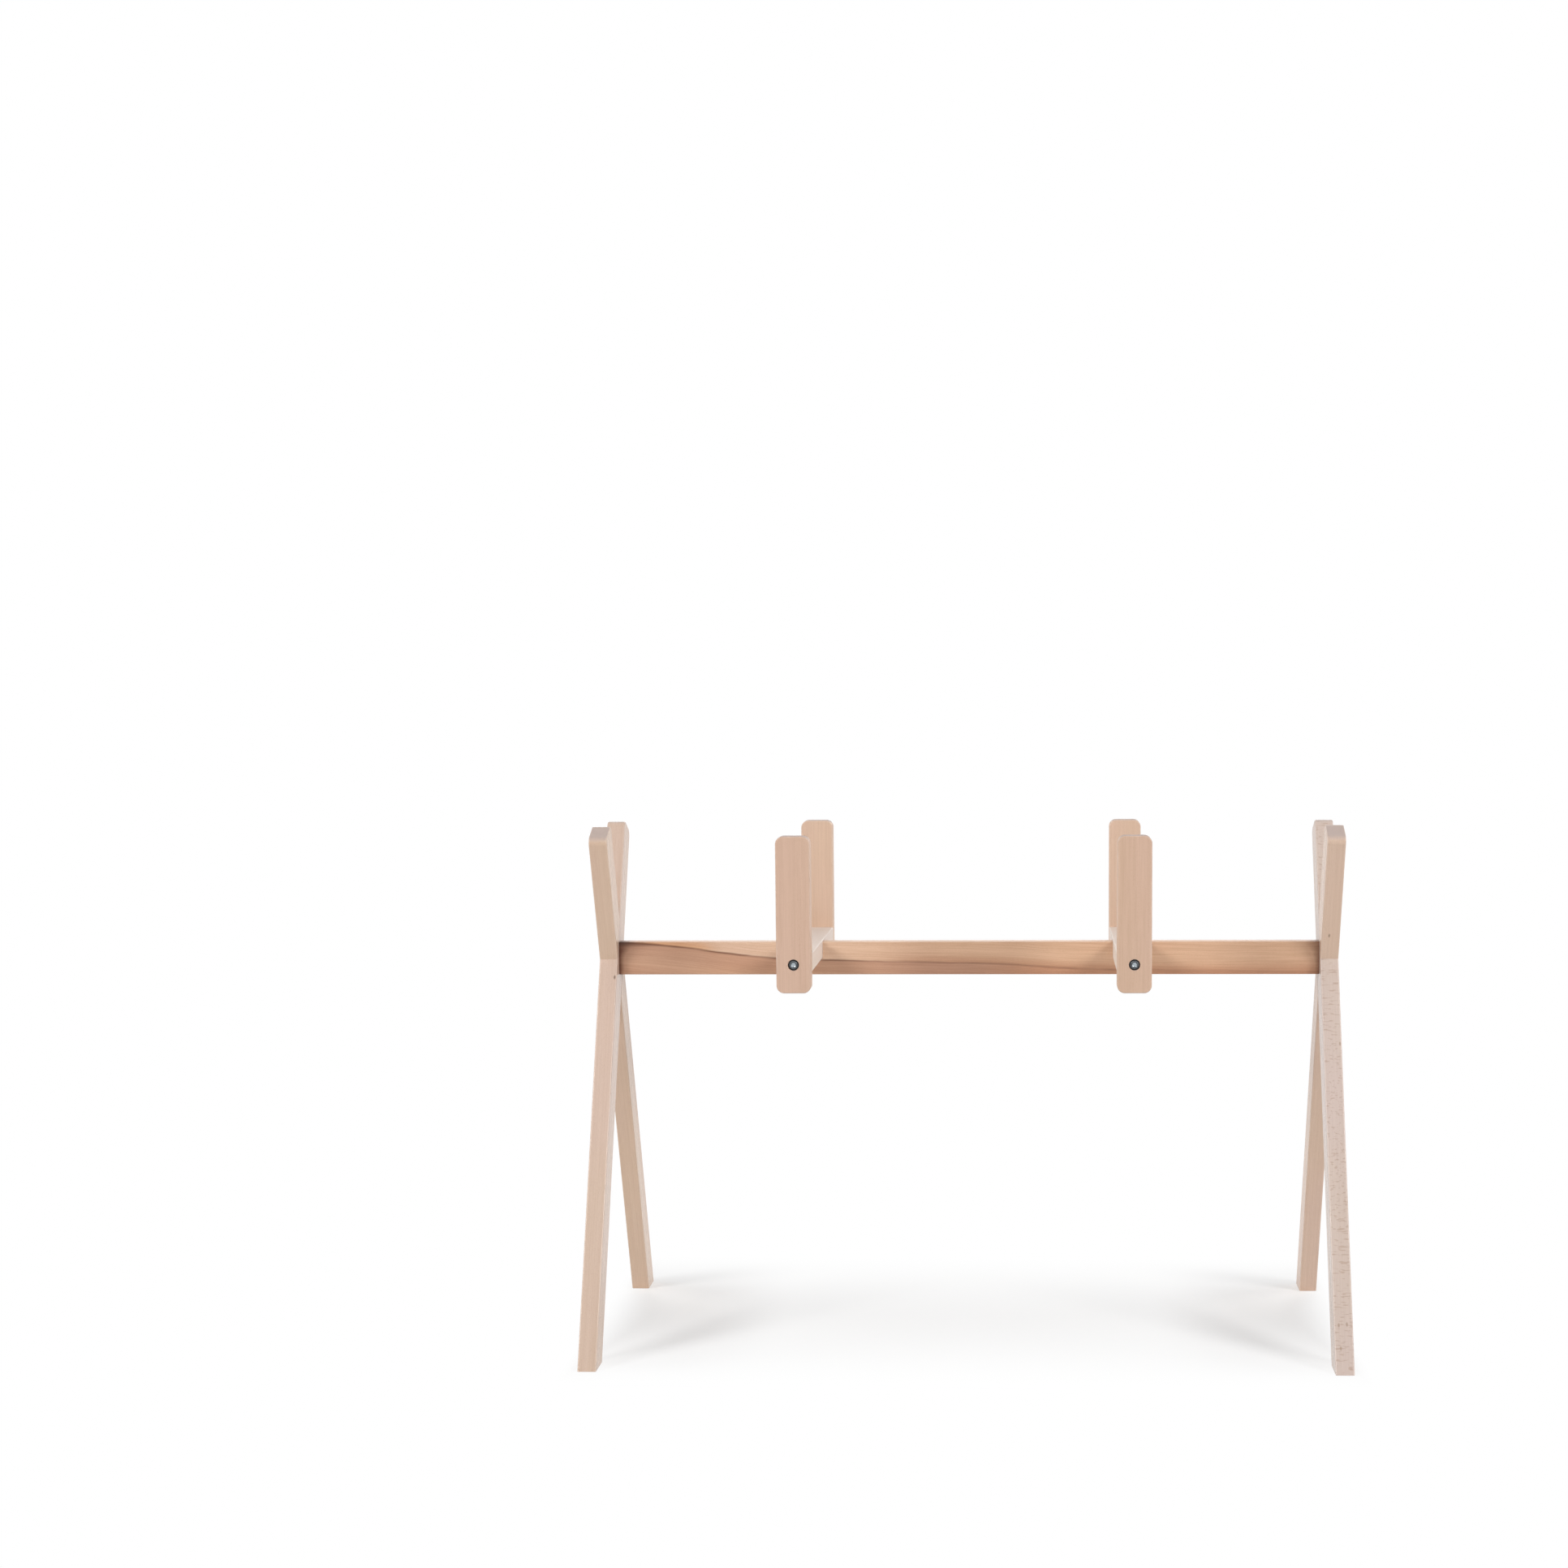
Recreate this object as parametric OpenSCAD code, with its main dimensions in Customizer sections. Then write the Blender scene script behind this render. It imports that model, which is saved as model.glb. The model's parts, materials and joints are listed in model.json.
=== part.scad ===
// Stand for a moses basket: two crossed end frames, a beam, two arms and four uprights.
// Millimetres. The origin is on the floor at the middle of the stand.
// X runs along the beam, Y from front to rear, Z up.

/* [End frames] */
// Width over the outer faces of the two end frames
frame_w = 898; // [640:1:1100]
// Height of the leg crossing and of the beam's centre line
cross_h = 459; // [360:1:560]
// Spread of the front and rear leg centre lines at the floor
foot_spread = 418; // [320:1:500]
// Reach of a leg above the crossing, along the leg
leg_rise = 174; // [110:1:240]
// Width of a leg
leg_w = 40; // [36:0.5:56]
// Thickness of a leg
leg_t = 22; // [20:0.5:30]

/* [Beam and arms] */
// Height of the beam
beam_h = 40; // [36:0.5:56]
// Thickness of the beam
beam_t = 22; // [20:0.5:30]
// Distance between the centre lines of the two arms
arm_pitch = 394; // [260:1:520]
// Clear width between the front and rear uprights, which is the length of an arm
cradle_w = 318; // [240:1:420]
// Width of an arm
arm_w = 40; // [30:0.5:56]
// Thickness of an arm
arm_t = 22; // [20:0.5:30]
// Depth of the housing in the beam's top edge that an arm lies in
housing_d = 20; // [12:0.5:22]

/* [Uprights] */
// Length of an upright
upright_l = 182; // [130:1:260]
// Length of an upright below its bolt
upright_drop = 33; // [22:1:60]
// Width of an upright
upright_w = 40; // [30:0.5:56]
// Thickness of an upright
upright_t = 22; // [18:0.5:30]
// Height of an upright's bolt above the underside of its arm
pivot_rise = 10; // [8.5:0.5:11.5]

/* [Edges] */
// Radius of the corners at the ends of the legs and uprights
corner_r = 9; // [4:0.5:14]
// Radius of the eased long edges of the boards
edge_r = 1.5; // [1:0.25:4]

/* [Fasteners] */
// Diameter of the bolts
bolt_d = 6; // [5:0.5:7]
// Diameter of a bolt head
head_d = 10; // [9:0.5:11]
// Height of a bolt head
head_h = 6; // [4:0.5:6.5]
// Width of the hexagonal socket across its flats
socket_w = 5; // [4:0.5:5.5]
// Depth of the hexagonal socket
socket_d = 3; // [2:0.25:3.5]
// Depth of a bolt head's face below the wood
head_sink = 0.5; // [0.25:0.25:1]
// Diameter of the sunk hole for a bolt head
counterbore_d = 13; // [12.5:0.5:15]
// Diameter of a washer
washer_d = 12; // [11.5:0.25:12.5]
// Thickness of a washer
washer_t = 1.5; // [1:0.25:2]
// Diameter of a barrel nut
barrel_d = 10; // [9:0.5:12]
// Length of a barrel nut
barrel_l = 14; // [12:0.5:16]
// Distance from a board's end to the axis of its barrel nut
nut_inset = 30; // [28:1:40]
// Length of bolt beyond the axis of its barrel nut
bolt_tail = 8; // [7:0.5:12]
// Diameter of a threaded insert
insert_d = 9; // [8.5:0.5:11]
// Length of a threaded insert
insert_l = 12; // [9:0.5:15]
// Diameter of a dowel
dowel_d = 8; // [6:0.5:8]
// Length of a dowel
dowel_l = 28; // [22:1:30]
// Length of a dowel inside the leg
dowel_in_leg = 9; // [6:0.5:9.5]
// Distance between the two dowels of a beam end
dowel_pitch = 25; // [24:0.5:26]

/* [Clearances] */
// Radial play of a bolt in its hole
bolt_play = 0.08; // [0.02:0.01:0.1]
// Radial play of nuts, inserts and dowels in their holes
fit_play = 0.05; // [0.02:0.01:0.1]
// Play on each side of a lap or a housing
joint_play = 0.1; // [0.05:0.05:0.3]

/* [Hidden] */
$fn = 48;
SIDES = [-1, 1];
LEFT = -1;
RIGHT = 1;
FRONT = -1;
REAR = 1;
UPPER = 1;
LOWER = -1;
ACROSS_X = [0, 90, 0];
ACROSS_Y = [-90, 0, 0];
CUT = 1;
CHAMFER = 0.6;
SLOT_W = 1.2;
SLOT_D = 1.5;
BARB = 0.6;
BARB_COUNT = 4;

WOOD_LEG = [0.86, 0.77, 0.71];
WOOD_BEAM = [0.78, 0.62, 0.50];
WOOD_ARM = [0.83, 0.74, 0.68];
WOOD_UPRIGHT = [0.82, 0.70, 0.62];
WOOD_DOWEL = [0.88, 0.80, 0.70];
DARK_STEEL = [0.30, 0.31, 0.31];
ZINC = [0.72, 0.73, 0.74];
BRASS = [0.78, 0.66, 0.40];

lean = atan(foot_spread / 2 / cross_h);
leg_run = cross_h / cos(lean) + leg_w;
leg_mid_x = frame_w / 2 - leg_t / 2;
leg_in_x = frame_w / 2 - leg_t;
beam_l = 2 * leg_in_x;
beam_z0 = cross_h - beam_h / 2;
arm_z0 = cross_h + beam_h / 2 - housing_d;
pivot_z = arm_z0 + pivot_rise;
upright_mid_y = cradle_w / 2 + upright_t / 2;
counterbore_h = head_sink + head_h + washer_t;
bolt_hole_d = bolt_d + 2 * bolt_play;
upright_bolt_l = upright_t - head_sink + nut_inset + bolt_tail;
end_bolt_l = leg_t - head_sink + nut_inset + bolt_tail;
arm_bolt_l = beam_h - housing_d - head_sink + insert_l - CUT;

// Flat shapes

module rounded_rect(a, b, r) {
    square([a - 2 * r, b], center = true);
    square([a, b - 2 * r], center = true);
    for (i = SIDES, j = SIDES)
        translate([i * (a / 2 - r), j * (b / 2 - r)])
            circle(r);
}

// Outline of a leg's broad face: the crossing is the origin, the top end has rounded corners.
module leg_outline() {
    translate([-leg_w / 2, -leg_run])
        square([leg_w, leg_run + leg_rise - corner_r]);
    translate([-leg_w / 2 + corner_r, 0])
        square([leg_w - 2 * corner_r, leg_rise]);
    for (i = SIDES)
        translate([i * (leg_w / 2 - corner_r), leg_rise - corner_r])
            circle(corner_r);
}

// Boards

module eased_bar(a, b, l) {
    linear_extrude(l, center = true)
        rounded_rect(a, b, edge_r);
}

// Turns a flat shape so that it stands in the Y-Z plane and is as thick as the leg.
module stand_up(t) {
    rotate([90, 0, 90])
        linear_extrude(t, center = true)
            children();
}

module leg_blank(face) {
    rotate([face * lean, 0, 0])
        intersection() {
            stand_up(leg_t)
                leg_outline();
            translate([0, 0, (leg_rise - leg_run) / 2])
                eased_bar(leg_t, leg_w, leg_rise + leg_run);
        }
}

// The half of the crossing that the other leg fills, on the outer or the inner side of the frame.
module lap_cut(face, side) {
    rotate([face * lean, 0, 0])
        translate([side * (leg_t / 4 + CUT / 2), 0, 0])
            cube([leg_t / 2 + CUT, leg_w + 2 * joint_play, 4 * leg_w], center = true);
}

// A front-footed leg keeps the inner half of the crossing, a rear-footed leg the outer half.
module leg(side, face) {
    color(WOOD_LEG)
        difference() {
            intersection() {
                translate([side * leg_mid_x, 0, cross_h])
                    leg_blank(face);
                translate([0, 0, cross_h])
                    cube([2 * frame_w, 2 * frame_w, 2 * cross_h], center = true);
            }
            translate([side * leg_mid_x, 0, cross_h])
                lap_cut(-face, -side * face);
            end_bolt_cut(side);
            for (level = SIDES)
                dowel_cut(side, level);
        }
}

module beam() {
    color(WOOD_BEAM)
        difference() {
            translate([0, 0, cross_h])
                rotate(ACROSS_X)
                    eased_bar(beam_h, beam_t, beam_l);
            for (side = SIDES) {
                housing_cut(side);
                end_bolt_cut(side);
                end_nut_cut(side);
                arm_bolt_cut(side);
                for (level = SIDES)
                    dowel_cut(side, level);
            }
        }
}

module housing_cut(side) {
    translate([side * arm_pitch / 2, 0, arm_z0 + housing_d / 2 + CUT / 2])
        cube([arm_w + 2 * joint_play, beam_t + 2 * CUT, housing_d + CUT], center = true);
}

module arm(side) {
    color(WOOD_ARM)
        difference() {
            translate([side * arm_pitch / 2, 0, arm_z0 + arm_t / 2])
                rotate(ACROSS_Y)
                    eased_bar(arm_w, arm_t, cradle_w);
            insert_cut(side);
            for (face = SIDES) {
                upright_bolt_cut(side, face);
                upright_nut_cut(side, face);
            }
        }
}

module upright(side, face) {
    mid_z = pivot_z - upright_drop + upright_l / 2;
    color(WOOD_UPRIGHT)
        difference() {
            translate([side * arm_pitch / 2, face * upright_mid_y, mid_z])
                intersection() {
                    rotate([90, 0, 0])
                        linear_extrude(upright_t, center = true)
                            rounded_rect(upright_w, upright_l, corner_r);
                    eased_bar(upright_w, upright_t, upright_l);
                }
            upright_bolt_cut(side, face);
        }
}

// Fasteners, each on the Z axis with its outer end at the origin and its body below

module bolt_body(length) {
    difference() {
        rotate_extrude()
            polygon([
                [0, 0], [head_d / 2 - CHAMFER, 0], [head_d / 2, -CHAMFER], [head_d / 2, -head_h],
                [bolt_d / 2, -head_h], [bolt_d / 2, CHAMFER - length], [bolt_d / 2 - CHAMFER, -length], [0, -length]
            ]);
        translate([0, 0, -socket_d])
            cylinder(h = socket_d + CUT, d = socket_w / cos(30), $fn = 6);
    }
}

module washer_body() {
    translate([0, 0, -head_h - washer_t])
        difference() {
            cylinder(h = washer_t, d = washer_d);
            translate([0, 0, -CUT])
                cylinder(h = washer_t + 2 * CUT, d = bolt_hole_d);
        }
}

// Hole for a bolt, with the sunk hole for its head, measured from the surface of the wood
module bolt_cut(length) {
    translate([0, 0, -length - CUT])
        cylinder(h = length + 2 * CUT, d = bolt_hole_d);
    translate([0, 0, -counterbore_h])
        cylinder(h = counterbore_h + CUT, d = counterbore_d);
}

module barrel_nut_body() {
    difference() {
        cylinder(h = barrel_l, d = barrel_d, center = true);
        rotate(ACROSS_X)
            cylinder(h = barrel_d + 2 * CUT, d = bolt_hole_d, center = true);
        translate([0, 0, -barrel_l / 2])
            cube([barrel_d + CUT, SLOT_W, 2 * SLOT_D], center = true);
    }
}

// Blind hole for a barrel nut, open to the underside of the board
module barrel_nut_cut(below) {
    translate([0, 0, -below - CUT])
        cylinder(h = below + CUT + barrel_l / 2 + fit_play, d = barrel_d + 2 * fit_play);
}

module insert_body() {
    pitch = insert_l / BARB_COUNT;
    rotate_extrude()
        polygon(concat(
            [[bolt_d / 2 + bolt_play, insert_l], [bolt_d / 2 + bolt_play, 0]],
            [for (i = [0 : BARB_COUNT - 1], top = [0, 1])
                [insert_d / 2 - top * BARB, (i + top) * pitch]]
        ));
}

module dowel_body() {
    rotate_extrude()
        polygon([
            [0, -dowel_l / 2], [dowel_d / 2 - CHAMFER, -dowel_l / 2], [dowel_d / 2, CHAMFER - dowel_l / 2],
            [dowel_d / 2, dowel_l / 2 - CHAMFER], [dowel_d / 2 - CHAMFER, dowel_l / 2], [0, dowel_l / 2]
        ]);
}

// Places of the fasteners

module at_upright_face(side, face, sink) {
    translate([side * arm_pitch / 2, face * (cradle_w / 2 + upright_t - sink), pivot_z])
        rotate(face * ACROSS_Y)
            children();
}

module at_frame_face(side, sink) {
    translate([side * (frame_w / 2 - sink), 0, cross_h])
        rotate(side * ACROSS_X)
            children();
}

module at_beam_underside(side, sink) {
    translate([side * arm_pitch / 2, 0, beam_z0 + sink])
        rotate([180, 0, 0])
            children();
}

module at_dowel(side, level) {
    translate([side * (leg_in_x + dowel_in_leg - dowel_l / 2), 0, cross_h + level * dowel_pitch / 2])
        rotate(ACROSS_X)
            children();
}

module at_upright_nut(side, face) {
    translate([side * arm_pitch / 2, face * (cradle_w / 2 - nut_inset), pivot_z])
        rotate([0, 0, 90])
            children();
}

module at_end_nut(side) {
    translate([side * (leg_in_x - nut_inset), 0, cross_h])
        children();
}

// Holes of the fasteners

module upright_bolt_cut(side, face) {
    at_upright_face(side, face, 0)
        bolt_cut(upright_bolt_l + head_sink);
}

module upright_nut_cut(side, face) {
    at_upright_nut(side, face)
        barrel_nut_cut(pivot_rise);
}

module end_bolt_cut(side) {
    at_frame_face(side, 0)
        bolt_cut(end_bolt_l + head_sink);
}

module end_nut_cut(side) {
    at_end_nut(side)
        barrel_nut_cut(beam_h / 2);
}

module dowel_cut(side, level) {
    at_dowel(side, level)
        cylinder(h = dowel_l + 2 * fit_play, d = dowel_d + 2 * fit_play, center = true);
}

module arm_bolt_cut(side) {
    at_beam_underside(side, 0)
        bolt_cut(arm_bolt_l + head_sink);
}

module insert_cut(side) {
    translate([side * arm_pitch / 2, 0, arm_z0 - CUT])
        cylinder(h = insert_l + CUT + fit_play, d = insert_d + 2 * fit_play);
}

// Fasteners in place

module upright_bolt(side, face) {
    color(DARK_STEEL)
        at_upright_face(side, face, head_sink)
            bolt_body(upright_bolt_l);
}

module upright_washer(side, face) {
    color(DARK_STEEL)
        at_upright_face(side, face, head_sink)
            washer_body();
}

module upright_nut(side, face) {
    color(ZINC)
        at_upright_nut(side, face)
            barrel_nut_body();
}

module end_bolt(side) {
    color(DARK_STEEL)
        at_frame_face(side, head_sink)
            bolt_body(end_bolt_l);
}

module end_washer(side) {
    color(DARK_STEEL)
        at_frame_face(side, head_sink)
            washer_body();
}

module end_nut(side) {
    color(ZINC)
        at_end_nut(side)
            barrel_nut_body();
}

module dowel(side, level) {
    color(WOOD_DOWEL)
        at_dowel(side, level)
            dowel_body();
}

module arm_bolt(side) {
    color(DARK_STEEL)
        at_beam_underside(side, head_sink)
            bolt_body(arm_bolt_l);
}

module arm_washer(side) {
    color(DARK_STEEL)
        at_beam_underside(side, head_sink)
            washer_body();
}

module arm_insert(side) {
    color(BRASS)
        translate([side * arm_pitch / 2, 0, arm_z0])
            insert_body();
}

leg(LEFT, FRONT);  // left_front_leg
leg(LEFT, REAR);  // left_rear_leg
leg(RIGHT, FRONT);  // right_front_leg
leg(RIGHT, REAR);  // right_rear_leg
beam();
arm(LEFT);  // left_arm
arm(RIGHT);  // right_arm
upright(LEFT, FRONT);  // left_front_upright
upright(LEFT, REAR);  // left_rear_upright
upright(RIGHT, FRONT);  // right_front_upright
upright(RIGHT, REAR);  // right_rear_upright
upright_bolt(LEFT, FRONT);  // left_front_upright_bolt
upright_bolt(LEFT, REAR);  // left_rear_upright_bolt
upright_bolt(RIGHT, FRONT);  // right_front_upright_bolt
upright_bolt(RIGHT, REAR);  // right_rear_upright_bolt
upright_washer(LEFT, FRONT);  // left_front_upright_washer
upright_washer(LEFT, REAR);  // left_rear_upright_washer
upright_washer(RIGHT, FRONT);  // right_front_upright_washer
upright_washer(RIGHT, REAR);  // right_rear_upright_washer
upright_nut(LEFT, FRONT);  // left_front_barrel_nut
upright_nut(LEFT, REAR);  // left_rear_barrel_nut
upright_nut(RIGHT, FRONT);  // right_front_barrel_nut
upright_nut(RIGHT, REAR);  // right_rear_barrel_nut
end_bolt(LEFT);  // left_end_bolt
end_bolt(RIGHT);  // right_end_bolt
end_washer(LEFT);  // left_end_washer
end_washer(RIGHT);  // right_end_washer
end_nut(LEFT);  // left_end_barrel_nut
end_nut(RIGHT);  // right_end_barrel_nut
dowel(LEFT, UPPER);  // left_upper_dowel
dowel(LEFT, LOWER);  // left_lower_dowel
dowel(RIGHT, UPPER);  // right_upper_dowel
dowel(RIGHT, LOWER);  // right_lower_dowel
arm_bolt(LEFT);  // left_arm_bolt
arm_bolt(RIGHT);  // right_arm_bolt
arm_washer(LEFT);  // left_arm_washer
arm_washer(RIGHT);  // right_arm_washer
arm_insert(LEFT);  // left_arm_insert
arm_insert(RIGHT);  // right_arm_insert
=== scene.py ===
"""Looks of a stand for a moses basket: lacquered beech boards, dark socket bolts and a white studio.

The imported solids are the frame. The boards and bolts are made again here with eased edges, joints and holes.
The washers, nuts, dowels and inserts keep their solids and get a finish.
Metres. X runs along the beam, Y from front to rear, Z up.
"""

import json
import logging
import math
from collections.abc import Iterable, Sequence
from dataclasses import dataclass, field
from enum import Enum
from functools import reduce
from operator import mul
from typing import ClassVar

import bmesh
import bpy
from mathutils import Matrix, Vector


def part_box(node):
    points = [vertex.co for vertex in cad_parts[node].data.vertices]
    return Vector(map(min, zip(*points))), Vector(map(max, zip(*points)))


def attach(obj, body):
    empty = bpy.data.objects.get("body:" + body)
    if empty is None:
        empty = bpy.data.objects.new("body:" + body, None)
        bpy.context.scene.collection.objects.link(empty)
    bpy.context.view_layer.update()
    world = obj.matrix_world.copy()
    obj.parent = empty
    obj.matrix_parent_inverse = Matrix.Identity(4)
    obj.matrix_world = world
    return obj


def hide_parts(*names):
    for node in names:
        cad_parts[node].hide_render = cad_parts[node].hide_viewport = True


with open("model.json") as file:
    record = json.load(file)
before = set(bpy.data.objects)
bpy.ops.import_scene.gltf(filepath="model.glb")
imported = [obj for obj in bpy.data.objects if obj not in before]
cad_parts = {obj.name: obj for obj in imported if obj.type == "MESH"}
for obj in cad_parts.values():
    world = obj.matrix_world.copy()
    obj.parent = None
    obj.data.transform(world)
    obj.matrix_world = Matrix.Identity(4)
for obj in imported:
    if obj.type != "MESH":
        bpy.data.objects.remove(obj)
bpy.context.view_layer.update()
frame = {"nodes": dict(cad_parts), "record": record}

LOG = logging.getLogger("stand")
STAND = "stand"
DOWELS = ("upper_dowel", "lower_dowel")
MM = 0.001
X_AXIS = Vector((1, 0, 0))
Y_AXIS = Vector((0, 1, 0))
Z_AXIS = Vector((0, 0, 1))
WELD = 1e-6
SHARP_ANGLE = math.radians(35)
CORNER_STEPS = 12
EASE_STEPS = 5
RIM_STEPS = 4
END_STEPS = 2
TURN_STEPS = 48
HEX_SIDES = 6
END_FACING = 0.5
LACQUER_IOR = 1.5

Colour = tuple[float, float, float]
Place = tuple[float, float, float]
Span = tuple[float, float]
Outline = Sequence[tuple[float, float]]
Shape = bmesh.types.BMesh
Edge = bmesh.types.BMEdge
Socket = bpy.types.NodeSocket
Sockets = bpy.types.bpy_prop_collection


class Side(Enum):
    """The two ends of the stand, seen from the front; the value is the sign of X."""

    LEFT = -1
    RIGHT = 1


class Row(Enum):
    """The front and the rear of the stand; the value is the sign of Y."""

    FRONT = -1
    REAR = 1


class Ends(Enum):
    """Which ends of a board have rounded corners."""

    SQUARE = "square"
    TOP_ROUND = "top round"
    BOTH_ROUND = "both round"


class GrainSource(Enum):
    """Where a wood finish reads its place in the log."""

    BOARD = "the board's own attribute"
    OBJECT_X = "object coordinates, with the grain along X"


def node_name(*words: Enum | str) -> str:
    """Joins words and sides into a node's name, such as left_front_leg."""
    return "_".join(word.name.lower() if isinstance(word, Enum) else word for word in words)


# Shaping


def moved(shape: Shape, place: Matrix) -> Shape:
    """Moves a shape to its place and hands it back."""
    bmesh.ops.transform(shape, matrix=place, verts=shape.verts)
    return shape


def along(direction: Vector, origin: Vector) -> Matrix:
    """Gives the place whose Z axis points in a direction from an origin."""
    return Matrix.Translation(origin) @ direction.to_track_quat("Z", "Y").to_matrix().to_4x4()


def columns(*directions: Vector) -> Matrix:
    """Gives the matrix whose columns are three directions."""
    return Matrix(directions).transposed()


def sharp_edges(shape: Shape) -> list[Edge]:
    """Lists the edges whose faces meet at a sharp angle."""
    return [edge for edge in shape.edges if edge.calc_face_angle(0.0) > SHARP_ANGLE]


def round_over(shape: Shape, edges: list[Edge], radius: float, steps: int) -> None:
    """Rounds edges over.

    Args:
        shape: Mesh to work on.
        edges: Edges to round.
        radius: Radius of the round.
        steps: Facets across the round.
    """
    bmesh.ops.bevel(
        shape,
        geom=edges,
        offset=radius,
        offset_type="OFFSET",
        affect="EDGES",
        segments=steps,
        profile=0.5,
        material=-1,
        clamp_overlap=True,
    )


def turned(profile: Outline, steps: int = TURN_STEPS) -> Shape:
    """Turns a closed solid about the Z axis, as on a lathe.

    Args:
        profile: Radius and height of each corner, from the axis back to the axis.
        steps: Facets round the axis.

    Returns:
        The solid.
    """
    shape = bmesh.new()
    corners = [shape.verts.new((radius, 0.0, height)) for radius, height in profile]
    edges = [shape.edges.new(pair) for pair in zip(corners, corners[1:])]
    bmesh.ops.spin(
        shape,
        geom=corners + edges,
        cent=(0, 0, 0),
        axis=Z_AXIS,
        angle=math.tau,
        steps=steps,
        use_merge=True,
    )
    bmesh.ops.remove_doubles(shape, verts=shape.verts, dist=WELD)
    bmesh.ops.recalc_face_normals(shape, faces=shape.faces)
    return shape


def block(size: Vector, place: Matrix) -> Shape:
    """Makes a plain block.

    Args:
        size: Width, depth and height.
        place: Where its middle goes, and how it is turned.

    Returns:
        The block.
    """
    shape = bmesh.new()
    bmesh.ops.create_cube(shape, size=1.0)
    bmesh.ops.scale(shape, vec=size, verts=shape.verts)
    return moved(shape, place)


def mesh_object(name: str, shape: Shape) -> bpy.types.Object:
    """Puts a shape into the scene and frees it.

    Args:
        name: Name of the object and its mesh.
        shape: Shape to use up.

    Returns:
        The object, at the origin.
    """
    mesh = bpy.data.meshes.new(name)
    shape.to_mesh(mesh)
    shape.free()
    made = bpy.data.objects.new(name, mesh)
    bpy.context.scene.collection.objects.link(made)
    return made


def cut_away(piece: bpy.types.Object, cutters: Iterable[Shape]) -> None:
    """Cuts shapes out of a piece for good.

    Args:
        piece: Piece to cut.
        cutters: Closed shapes to take away, which are used up.
    """
    tools = [mesh_object(f"{piece.name}_cutter", cutter) for cutter in cutters]
    for tool in tools:
        saw = piece.modifiers.new("cut", "BOOLEAN")
        saw.operation = "DIFFERENCE"
        saw.solver = "EXACT"
        saw.object = tool
    whole = piece.data
    view = bpy.context.evaluated_depsgraph_get()
    piece.data = bpy.data.meshes.new_from_object(piece.evaluated_get(view))
    piece.data.name = piece.name
    piece.modifiers.clear()
    bpy.data.meshes.remove(whole)
    for tool in tools:
        bpy.data.meshes.remove(tool.data)


def even_shading(piece: bpy.types.Object) -> None:
    """Shades a piece smooth, with flat faces flat and cut edges crisp.

    Args:
        piece: Piece to shade.
    """
    piece.data.shade_smooth()
    piece.data.set_sharp_from_angle(angle=SHARP_ANGLE)
    weighting = piece.modifiers.new("even_shading", "WEIGHTED_NORMAL")
    weighting.keep_sharp = True


def note_vectors(mesh: bpy.types.Mesh, name: str, values: list[Vector], domain: str = "POINT") -> None:
    """Stores a vector for each point, or each face's corner, of a mesh under an attribute's name."""
    layer = mesh.attributes.new(name, "FLOAT_VECTOR", domain)
    layer.data.foreach_set("vector", [number for value in values for number in value])


def hand_over(piece: bpy.types.Object, node: str, body: str) -> None:
    """Lets a piece stand for a node, on that node's body.

    Args:
        piece: Finished piece.
        node: Node that it stands for.
        body: Body that it moves with.
    """
    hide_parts(node)
    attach(piece, body)
    LOG.info("%s: %d faces on %s", piece.name, len(piece.data.polygons), body)


# Node sheets


@dataclass(frozen=True)
class Fade:
    """A smooth change from one result to another, held beyond its ends.

    Attributes:
        start: Value that gives low.
        end: Value that gives high.
        low: Result at the start.
        high: Result at the end.
    """

    start: float
    end: float
    low: float = 0.0
    high: float = 1.0


@dataclass(frozen=True)
class Noise:
    """Soft noise from 0 to 1, about 0.5, stretched by how many grains a metre holds each way.

    Attributes:
        per_metre: Grains in a metre along each axis.
        detail: Octaves of finer noise.
        roughness: Share of each finer octave.
        contrast: Fade that the noise goes through, if any.
    """

    per_metre: Place
    detail: float = 2.0
    roughness: float = 0.5
    contrast: Fade | None = None


@dataclass(frozen=True)
class Value:
    """A number, vector, colour or shader on a node sheet; numbers take plain arithmetic.

    Attributes:
        sheet: Sheet that it is on.
        socket: Output that gives it.
    """

    sheet: "NodeSheet"
    socket: Socket

    def __add__(self, other: "Term") -> "Value":
        """Adds another value."""
        return self.sheet.math("ADD", self, other)

    def __sub__(self, other: "Term") -> "Value":
        """Takes another value away."""
        return self.sheet.math("SUBTRACT", self, other)

    def __rsub__(self, other: float) -> "Value":
        """Takes the value away from a number."""
        return self.sheet.math("SUBTRACT", other, self)

    def __mul__(self, other: "Term") -> "Value":
        """Multiplies by another value."""
        return self.sheet.math("MULTIPLY", self, other)

    def __truediv__(self, other: "Term") -> "Value":
        """Divides by another value."""
        return self.sheet.math("DIVIDE", self, other)

    def __abs__(self) -> "Value":
        """Drops the sign."""
        return self.sheet.math("ABSOLUTE", self)

    def faded(self, *fades: Fade) -> "Value":
        """Puts the value through fades and multiplies their results."""
        return reduce(mul, (self.sheet.ramp(self, fade) for fade in fades))


Term = Value | float | tuple


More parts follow.
